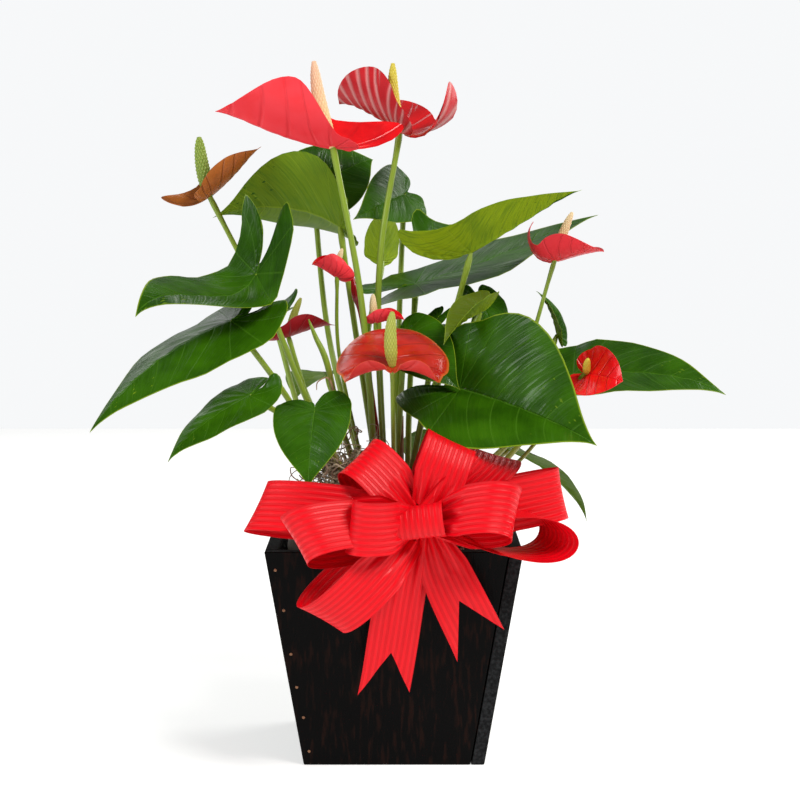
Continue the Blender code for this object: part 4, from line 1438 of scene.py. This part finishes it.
# ---------------------------------------------------------------- ribbon


KNOT = np.array((20.0, -118.0, 193.0))


@dataclass(frozen=True)
class Loop:
    """One bow loop: the middle of its far fold, its width's direction there, and how open it is."""

    end: Triple
    across: Triple
    opening: float


@dataclass(frozen=True)
class Tail:
    """One tail: three points of its middle line, the half-width vector at each, and its notch."""

    name: str
    places: tuple
    acrosses: tuple
    notch: float


@dataclass
class Bow:
    """The ribbon bow: loops round a knot and two notched tails, of one ribbon."""

    satin: Material
    width: float = 38.0
    thickness: float = 0.35
    rows: int = 96
    tail_rows: int = 70
    knot_rows: int = 72
    columns: int = 25
    crown: float = 0.9
    pleat_height: float = 3.2
    notch_start: float = 0.55
    trim: float = 0.05
    loop_pleats: int = 3
    knot_pleats: int = 4
    knot_turn: float = 0.98
    knot_deep: float = 10.0
    knot_high: float = 10.5
    knot_half: float = 14.0
    knot_flare: float = 4.0
    loops: tuple = (
        Loop((-100, -105, 202), (-0.42, -0.30, -0.86), 26),
        Loop((-70, -150, 185), (0.50, -0.40, -0.77), 32),
        Loop((-29, -158, 195), (-0.13, 0.0, -0.99), 26),
        Loop((-52, -145, 127), (0.78, 0.32, -0.52), 34),
        Loop((-28, -100, 237), (0.60, 0.45, 0.55), 30),
        Loop((42, -100, 250), (0.87, 0.0, -0.42), 26),
        Loop((73, -80, 238), (0.80, 0.50, -0.30), 26),
        Loop((86, -145, 204), (-0.20, -0.40, -0.90), 34),
        Loop((124, -88, 210), (0.20, 0.0, -0.98), 24),
        Loop((119, -115, 181), (0.55, -0.80, -0.10), 32),
        Loop((16, -146, 197), (0.97, -0.10, 0.14), 25),
    )
    tails: tuple = (
        Tail("left", ((20, -122, 190), (7, -124, 150), (-2, -113, 97)),
             ((6, 0, 3), (18, 2, 5), (19, 0, 1)), 34.0),
        Tail("right", ((24, -122, 190), (36, -122, 160), (47, -119, 136)),
             ((6, 0, 4), (17, 2, 6), (17, 0, 12)), 40.0),
    )

    def gathered(self, part: Array) -> Array:
        """Share of the full width at this part of the way from the knot."""
        return 0.36 + 0.64 * np.minimum(1.0, part / 0.5) ** 0.8

    def strip(self, name: str, middle: Array, across: Array, pleats: int, seed: float,
              notch: float = 0.0) -> tuple[Piece, float]:
        """One length of ribbon, pleated where it is gathered.

        Args:
            name: The piece's name.
            middle: The points of its middle line.
            across: The half-width vector at each.
            pleats: How many pleats its gathered part has.
            seed: What sets its pleats apart from others'.
            notch: How far the ends' corners stand out past the middle.

        Returns:
            The piece and the length of its middle line, in metres.
        """
        spread = np.linspace(-1.0, 1.0, self.columns)
        step = np.linalg.norm(np.diff(middle, axis=0), axis=1)
        along = np.concatenate([[0.0], np.cumsum(step)])
        ahead = unit(np.gradient(middle, axis=0))
        up = unit(np.cross(ahead, across))
        half = np.linalg.norm(across - ahead * (across * ahead).sum(1, keepdims=True), axis=1)
        share = np.clip(2.0 * half / self.width, 0.2, 1.0)
        slope = 2.0 * np.sqrt(np.maximum(0.0, 1.0 / share - 1.0))
        height = np.minimum(slope * 2.0 * half / (2 * pi * pleats), self.pleat_height)
        rise = (np.outer(height, np.cos(pi * pleats * spread + seed))
                + np.outer(share**2, self.crown * (1.0 - spread**2)))
        stretch = (np.maximum(0.0, along - along[-1] * self.notch_start)
                   / (along[-1] * (1.0 - self.notch_start)))
        reach = np.outer(stretch, np.abs(spread) * notch)
        spots = (middle[:, None, :] + spread[None, :, None] * across[:, None, :]
                 + rise[:, :, None] * up[:, None, :] + reach[:, :, None] * ahead[:, None, :])
        flat = np.column_stack([np.tile(spread, len(middle)), np.repeat(along, self.columns) + reach.ravel(),
                                np.zeros(reach.size)])
        skin = Skin()
        skin.add(*sheet_part(spots, 0.5 * self.thickness, 0.5 * self.thickness, flat))
        piece = skin.build(name, (self.satin,), "ribbon_satin", "ribbon_bow", sharp=40.0)
        return piece, float(along[-1]) * MM

    def build(self) -> None:
        """Builds the bow."""
        for number, loop in enumerate(self.loops, 1):
            piece, length = self.build_loop(number, loop)
        for tail in self.tails:
            part = np.linspace(0.0, 1.0, self.tail_rows)
            middle = spline(tail.places, part)
            across = spline(tail.acrosses, part)
            middle[:, 1] += np.sin(7.0 * part + len(tail.name)) * part * 1.2
            piece, length = self.strip(f"ribbon_tail_{tail.name}", middle, across, self.loop_pleats, 0.6,
                                       tail.notch)
        self.build_knot()

    def build_loop(self, number: int, loop: Loop) -> tuple[Piece, float]:
        """One loop: out from the knot, round the far fold and back.

        Args:
            number: Which one it is.
            loop: Its shape.

        Returns:
            The piece and its length in metres.
        """
        reach = np.array(loop.end, float) - KNOT
        ahead = unit(reach)
        across = unit(np.array(loop.across, float))
        skew = sqrt(1.0 - float(np.dot(ahead, across)) ** 2)
        lift = unit(np.cross(across, ahead))
        turn = pi * (self.trim + (1.0 - 2.0 * self.trim) * np.linspace(0.0, 1.0, self.rows))
        out = np.sin(turn)
        middle = KNOT + np.outer(out, reach) + np.outer(0.5 * loop.opening * np.sin(2 * turn), lift)
        sides = np.outer(0.5 * self.width * self.gathered(out) / skew, across)
        return self.strip(f"ribbon_loop_{number}", middle, sides, self.loop_pleats, 1.3 * number)

    def build_knot(self) -> None:
        """The band that is drawn tight round the middle of the bow."""
        turn = np.linspace(0.0, 2 * pi * self.knot_turn, self.knot_rows)
        middle = KNOT + np.column_stack([0.8 * np.sin(3 * turn), -self.knot_deep * np.sin(turn),
                                         self.knot_high * np.cos(turn)])
        wide = self.knot_half + self.knot_flare * np.cos(turn)
        across = np.column_stack([wide, 0.0 * wide, 0.14 * wide + 1.2 * np.sin(2 * turn)])
        piece, length = self.strip("ribbon_knot", middle, across, self.knot_pleats, 0.4)


# ---------------------------------------------------------------- moss


@dataclass
class Moss:
    """Dry curly moss: a lumpy bed round the stalks, painted darker than the threads as painted shade
    of the moss's depths, under hundreds of tangled threads.
    """

    dark: Material
    thread: Material
    hole: float = 46.0
    bottom: float = 143.5
    half: float = 80.0
    threads: int = 900
    clump: int = 520
    steps: int = 15
    clump_middle: Triple = (-37.0, -56.0, 205.0)
    clump_spread: Triple = (14.0, 9.0, 16.0)
    stray: float = 2.5
    rise: float = 3.0
    clump_rise: float = 12.0
    sink: float = 5.0
    level: Triple = (1.0, 1.0, 0.45)
    wander: float = 0.12
    paces: Pair = (1.6, 3.0)
    bends: Pair = (0.25, 0.65)
    thicknesses: Pair = (0.38, 0.85)
    top: float = 170.0
    mound: float = 14.0
    mound_turn: float = 222.0
    corner: float = 1.22
    bed_sides: int = 96
    seed: int = 41
    levels: tuple = ((0.0, 0.0), (1.0, 0.0), (1.0, 0.62), (0.96, 0.85), (0.82, 0.97), (0.6, 1.0),
                     (0.35, 0.99), (0.12, 0.95), (0.0, 0.75), (0.0, 0.35))

    def height(self, x: Array, y: Array) -> Array:
        """How high the bed stands at a place.

        Args:
            x: The places' x.
            y: Their y.

        Returns:
            The heights.
        """
        turn = np.arctan2(y, x)
        left = np.maximum(0.0, np.cos(turn - radians(self.mound_turn))) ** 3
        lumps = 1.6 * np.sin(0.23 * x + 1.0) * np.cos(0.27 * y) + 1.2 * np.sin(0.41 * x - 0.35 * y)
        return self.top + self.mound * left + 3.0 * np.sin(3 * turn) + 2.0 * np.sin(7 * turn + 1.0) + lumps

    def reach(self, turn: Array) -> Array:
        """How far the bed reaches from the middle, its outer edge squared to fit the boards."""
        square = np.maximum(np.abs(np.cos(turn)), np.abs(np.sin(turn)))
        return np.minimum(self.half, self.half * self.corner * square) / square

    def build_bed(self) -> None:
        """Builds the bed."""
        turns = full_turn(self.bed_sides)
        rim = self.reach(turns)
        rows = []
        for out, up in self.levels:
            r = self.hole + (rim - self.hole) * out
            x, y = r * np.cos(turns), r * np.sin(turns)
            rows.append(np.column_stack([x, y, self.bottom + (self.height(x, y) - 3.0 - self.bottom) * up]))
        points = np.vstack(rows)
        skin = Skin()
        skin.add(points, [ring_faces(len(rows) + 1, self.bed_sides) % len(points)])
        skin.build("moss_bed", (self.dark,), "spanish_moss", "moss")

    def build(self) -> None:
        """Builds the bed and the threads on it."""
        self.build_bed()
        rng = np.random.default_rng(self.seed)
        skin = Skin()
        for _ in range(self.threads):
            turn = rng.uniform(0.0, 2 * pi)
            rim = float(self.reach(np.array(turn)))
            r = self.hole - 6.0 + (rim - self.hole + 8.0) * sqrt(rng.uniform(0.0, 1.0))
            x, y = r * cos(turn), r * sin(turn)
            z = float(self.height(np.array(x), np.array(y))) + rng.uniform(-4.0, 2.5)
            self.add_thread(skin, rng, np.array((x, y, z)), self.rise)
        skin.build("moss_threads", (self.thread,), "spanish_moss", "moss")
        skin = Skin()
        for _ in range(self.clump):
            away = rng.normal(0.0, 1.0, 3) * self.clump_spread
            self.add_thread(skin, rng, np.array(self.clump_middle) + away, self.clump_rise)
        skin.build("moss_clump", (self.thread,), "spanish_moss", "moss")

    def add_thread(self, skin: Skin, rng: np.random.Generator, start: Array, climb: float) -> None:
        """Adds one curling thread.

        Args:
            skin: The piece.
            rng: The random numbers.
            start: Where it starts.
            climb: How far above the bed it may stray.
        """
        heading = unit(rng.normal(0.0, 1.0, 3) * self.level)
        axis = unit(rng.normal(0.0, 1.0, 3))
        pace = rng.uniform(*self.paces)
        bend = rng.uniform(*self.bends)
        path = [start]
        for _ in range(self.steps):
            heading = unit(heading + np.cross(axis, heading) * bend + rng.normal(0.0, self.wander, 3))
            spot = path[-1] + heading * pace
            spot[:2] *= min(1.0, (self.half + self.stray) / max(abs(spot[0]), abs(spot[1])))
            path.append(spot)
        path = np.array(path)
        bed = self.height(path[:, 0], path[:, 1])
        path[:, 2] = np.clip(path[:, 2], bed - self.sink, np.maximum(bed + climb, start[2] + climb))
        thick = rng.uniform(*self.thicknesses)
        points, faces, flat = tube_part(path, thick * np.linspace(1.0, 0.6, len(path)), 3)
        flat[:, 0] = rng.uniform(0.0, 1.0)
        skin.add(points, faces, flat)


# ---------------------------------------------------------------- planter


@dataclass
class Planter:
    """The tapered planter: four lacquered boards that lap at the corners, and their nails."""

    lacquer: Material
    rust: Material
    rim_width: float = 190.0
    foot_width: float = 136.0
    tall: float = 167.0
    board: float = 10.0
    gap: float = 0.35
    edge: float = 1.3
    round_steps: int = 3
    round_profile: float = 0.6
    nail_heights: tuple = (11.0, 38.0, 62.0, 88.0, 122.0, 153.0)
    nail_inset: float = 6.0
    nail_radius: float = 1.15
    nail_sides: int = 14
    nail_profile: tuple = ((-0.6, 1.0), (0.05, 1.0), (0.22, 0.82), (0.3, 0.35))

    def slope(self) -> float:
        """How far a board leans out for each unit of height."""
        return 0.5 * (self.rim_width - self.foot_width) / self.tall

    def half_width(self, z: float) -> float:
        """Half of the outer width at a height."""
        return 0.5 * self.foot_width + self.slope() * z

    def build(self) -> None:
        """Builds the boards and the nails."""
        for quarter, side in enumerate(("front", "right", "back", "left")):
            settle(self.build_board(side, quarter), "lacquered_wood", f"planter_{side}")
            self.build_nails(side, quarter)

    def build_board(self, side: str, quarter: int) -> Piece:
        """Builds one board from a cube: shaped, and its edges rounded.

        Args:
            side: The board's side of the planter.
            quarter: How many quarter turns from the front it is.

        Returns:
            The piece.
        """
        wall = self.board * sqrt(1.0 + self.slope() ** 2)
        bpy.ops.object.select_all(action="DESELECT")
        bpy.ops.mesh.primitive_cube_add(size=1.0)
        piece = bpy.context.active_object
        piece.name = piece.data.name = f"board_{side}"
        for corner in piece.data.vertices:
            z = self.tall if corner.co.z > 0 else 0.0
            half = self.half_width(z)
            x = half - wall - self.gap if corner.co.x > 0 else -half
            y = wall - half if corner.co.y > 0 else -half
            corner.co = Vector((x, y, z)) * MM
        bpy.ops.object.mode_set(mode="EDIT")
        bpy.ops.mesh.select_all(action="SELECT")
        bpy.ops.mesh.bevel(offset=self.edge * MM, segments=self.round_steps, profile=self.round_profile,
                           affect="EDGES")
        bpy.ops.object.mode_set(mode="OBJECT")
        piece.data.transform(Matrix.Rotation(quarter * pi / 2, 4, "Z"))
        self.mark_cut_ends(piece, quarter)
        piece.data.materials.append(self.lacquer)
        piece.data.shade_smooth()
        piece.data.set_sharp_from_angle(angle=radians(40.0))
        return piece

    def mark_cut_ends(self, piece: Piece, quarter: int) -> None:
        """Writes where the board's sawn edge shows, for its material.

        Args:
            piece: The board.
            quarter: How many quarter turns from the front it is.
        """
        held = piece.data.attributes.new("flat", "FLOAT_VECTOR", "CORNER")
        away = Matrix.Rotation(quarter * pi / 2, 3, "Z") @ Vector((-1.0, 0.0, 0.0))
        for face in piece.data.polygons:
            cut = 1.0 if face.normal.dot(away) > 0.75 or abs(face.normal.z) > 0.8 else 0.0
            for corner in face.loop_indices:
                held.data[corner].vector = (cut, 0.0, 0.0)

    def build_nails(self, side: str, quarter: int) -> None:
        """Builds a board's column of nail heads.

        Args:
            side: The board's side of the planter.
            quarter: How many quarter turns from the front it is.
        """
        skin = Skin()
        out = unit(np.array((0.0, -1.0, -self.slope())))
        turn = np.array(Matrix.Rotation(quarter * pi / 2, 3, "Z"))
        for number, z in enumerate(self.nail_heights):
            half = self.half_width(z)
            spot = np.array((-half + self.nail_inset + 0.5 * sin(2.0 * number), -half, z))
            path, radii = (np.array(side_on) for side_on in zip(*self.nail_profile))
            points, faces, flat = tube_part(spot + np.outer(path, out), self.nail_radius * radii,
                                            self.nail_sides)
            skin.add(points @ turn.T, faces, flat)
        skin.build(f"nails_{side}", (self.rust,), "wire_steel", sharp=30.0)


# ---------------------------------------------------------------- studio


@dataclass
class Studio:
    """Pale floor, soft light from a bright room, and the camera.

    Each lamp has a name, a place, a size, a power and a colour.
    """

    floor: Material
    floor_size: float = 4.4
    aim: Triple = (0.0, 0.0, 0.28)
    eye: Triple = (0.0045, -1.5873, 0.4253)
    pitch: float = 5.609
    lens: float = 92.88
    sensor: float = 36.0
    world: float = 0.20
    sky: tuple = (0.95, 0.97, 1.0, 1.0)
    seen_sky: tuple = (0.93, 0.94, 0.95, 1.0)
    lamps: tuple = (
        ("key", (1.1, -1.4, 2.2), 0.9, 60.0, (1.0, 0.98, 0.95)),
        ("window", (1.9, 1.3, 1.1), 1.4, 30.0, (1.0, 0.99, 0.97)),
        ("fill", (-1.9, -1.1, 1.1), 1.2, 26.0, (0.96, 0.98, 1.0)),
        ("back", (-0.9, 1.9, 1.5), 1.4, 9.0, (1.0, 1.0, 1.0)),
    )

    def build(self) -> None:
        """Builds the studio."""
        bpy.ops.object.select_all(action="DESELECT")
        bpy.ops.mesh.primitive_plane_add(size=self.floor_size)
        plane = bpy.context.active_object
        plane.name = "floor"
        plane.data.materials.append(self.floor)
        self.light_world()
        for lamp in self.lamps:
            self.hang_lamp(*lamp)
        camera = bpy.data.objects.new("camera", bpy.data.cameras.new("camera"))
        bpy.context.scene.collection.objects.link(camera)
        camera.location = self.eye
        camera.rotation_euler = (radians(90.0 - self.pitch), 0.0, 0.0)
        camera.data.lens = self.lens
        camera.data.sensor_width = self.sensor
        bpy.context.scene.camera = camera

    def light_world(self) -> None:
        """Makes the room's even light, and the paler backdrop that the camera sees."""
        world = bpy.data.worlds.new("bright_room")
        world.use_nodes = True
        nodes, links = world.node_tree.nodes, world.node_tree.links
        room = nodes["Background"]
        room.inputs[0].default_value = self.sky
        room.inputs[1].default_value = self.world
        seen = nodes.new("ShaderNodeBackground")
        seen.inputs[0].default_value = self.seen_sky
        path = nodes.new("ShaderNodeLightPath")
        mix = nodes.new("ShaderNodeMixShader")
        links.new(path.outputs["Is Camera Ray"], mix.inputs[0])
        links.new(room.outputs[0], mix.inputs[1])
        links.new(seen.outputs[0], mix.inputs[2])
        links.new(mix.outputs[0], nodes["World Output"].inputs[0])
        bpy.context.scene.world = world
        bpy.context.scene.view_settings.view_transform = "Standard"

    def hang_lamp(self, name: str, place: Triple, size: float, power: float, colour: Colour) -> None:
        """Adds one soft lamp that faces the plant.

        Args:
            name: The lamp's name.
            place: Where it hangs.
            size: The side of its panel.
            power: Its power in watts.
            colour: Its colour.
        """
        data = bpy.data.lights.new(name, "AREA")
        data.size = size
        data.energy = power
        data.color = colour
        lamp = bpy.data.objects.new(name, data)
        bpy.context.scene.collection.objects.link(lamp)
        lamp.location = place
        lamp.rotation_euler = (Vector(self.aim) - Vector(place)).to_track_quat("-Z", "Y").to_euler()


SPATHE_FINISHES = (
    SpatheFinish(Red.BRIGHT, (0.800, 0.003, 0.006), (0.560, 0.001, 0.004), (0.860, 0.040, 0.055),
                 (0.520, 0.004, 0.004), (0.560, 0.006, 0.012)),
    # silver: the pale silver-pink veins of its back are a painted sheen
    SpatheFinish(Red.SILVER, (0.660, 0.003, 0.005), (0.420, 0.001, 0.003), (0.520, 0.008, 0.014),
                 (0.260, 0.030, 0.008), (0.680, 0.330, 0.310), 0.62, 0.040,
                 Veins(0.35, 1.7, 6.0, 2.2, 1.0, 0.008)),
    SpatheFinish(Red.DEEP, (0.300, 0.002, 0.005), (0.160, 0.001, 0.003), (0.340, 0.006, 0.012),
                 (0.200, 0.004, 0.004), (0.200, 0.004, 0.006)),
    SpatheFinish(Red.WARM, (0.540, 0.020, 0.010), (0.330, 0.006, 0.004), (0.640, 0.045, 0.040),
                 (0.400, 0.030, 0.008), (0.420, 0.010, 0.010), margin_share=0.55),
    SpatheFinish(Red.FADED, (0.380, 0.110, 0.012), (0.200, 0.045, 0.006), (0.420, 0.120, 0.018),
                 (0.200, 0.060, 0.008), (0.180, 0.040, 0.008), 0.5),
)
SPADIX_FINISHES = (
    SpadixFinish("cream", (0.720, 0.520, 0.210), (0.800, 0.640, 0.380), (0.420, 0.260, 0.080)),
    SpadixFinish("peach", (0.820, 0.600, 0.260), (0.830, 0.500, 0.320), (0.560, 0.300, 0.130)),
    SpadixFinish("yellow", (0.660, 0.470, 0.030), (0.640, 0.540, 0.040), (0.300, 0.180, 0.010)),
    SpadixFinish("lime", (0.420, 0.420, 0.050), (0.380, 0.420, 0.060), (0.170, 0.190, 0.020)),
    SpadixFinish("green", (0.200, 0.290, 0.025), (0.230, 0.330, 0.030), (0.070, 0.120, 0.010)),
)


def main() -> None:
    """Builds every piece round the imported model."""
    logging.basicConfig(level=logging.INFO, format="%(message)s")
    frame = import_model()
    bpy.ops.object.select_all(action="DESELECT")
    Studio(FloorFinish().build()).build()
    leaf, stalk = LeafFinish().build(), StalkFinish().build()
    reds = {finish.red: finish.build() for finish in SPATHE_FINISHES}
    florets = {finish.name: finish.build() for finish in SPADIX_FINISHES}
    sheath = SheathFinish().build()
    LOG.info("foliage: %d leaves", len(Foliage(leaf, stalk).build()))
    LOG.info("flowers: %d pieces", len(Inflorescence(reds, florets, stalk).build()))
    Shoots(stalk, reds[Red.DEEP], sheath).build()
    LOG.info("shoots")
    Bow(SatinFinish().build()).build()
    LOG.info("bow")
    # the bed's dark browns are painted shade for the moss's shaded depths
    Moss(FibreFinish("moss_dark", (0.030, 0.022, 0.014), (0.110, 0.082, 0.055)).build(),
         FibreFinish("moss_thread", (0.150, 0.105, 0.060), (0.620, 0.510, 0.350)).build()).build()
    LOG.info("moss")
    lacquer = LacquerFinish().build()
    rust = MetalFinish("nail_rust", (0.220, 0.100, 0.045), (0.200, 0.060, 0.020), 0.1, 0.4).build()
    Planter(lacquer, rust).build()
    LOG.info("planter")
    kept = {"planter_base": lacquer, "grow_pot": PotFinish().build(), "potting_mix": SoilFinish().build(),
            "bow_wire": MetalFinish("wire_steel", (0.50, 0.50, 0.50), (0.20, 0.18, 0.16), 0.05, 1.0).build()}
    for name, material in kept.items():
        slots = frame["nodes"][name].data.materials
        slots.clear()
        slots.append(material)


if __name__ == "__main__":
    main()
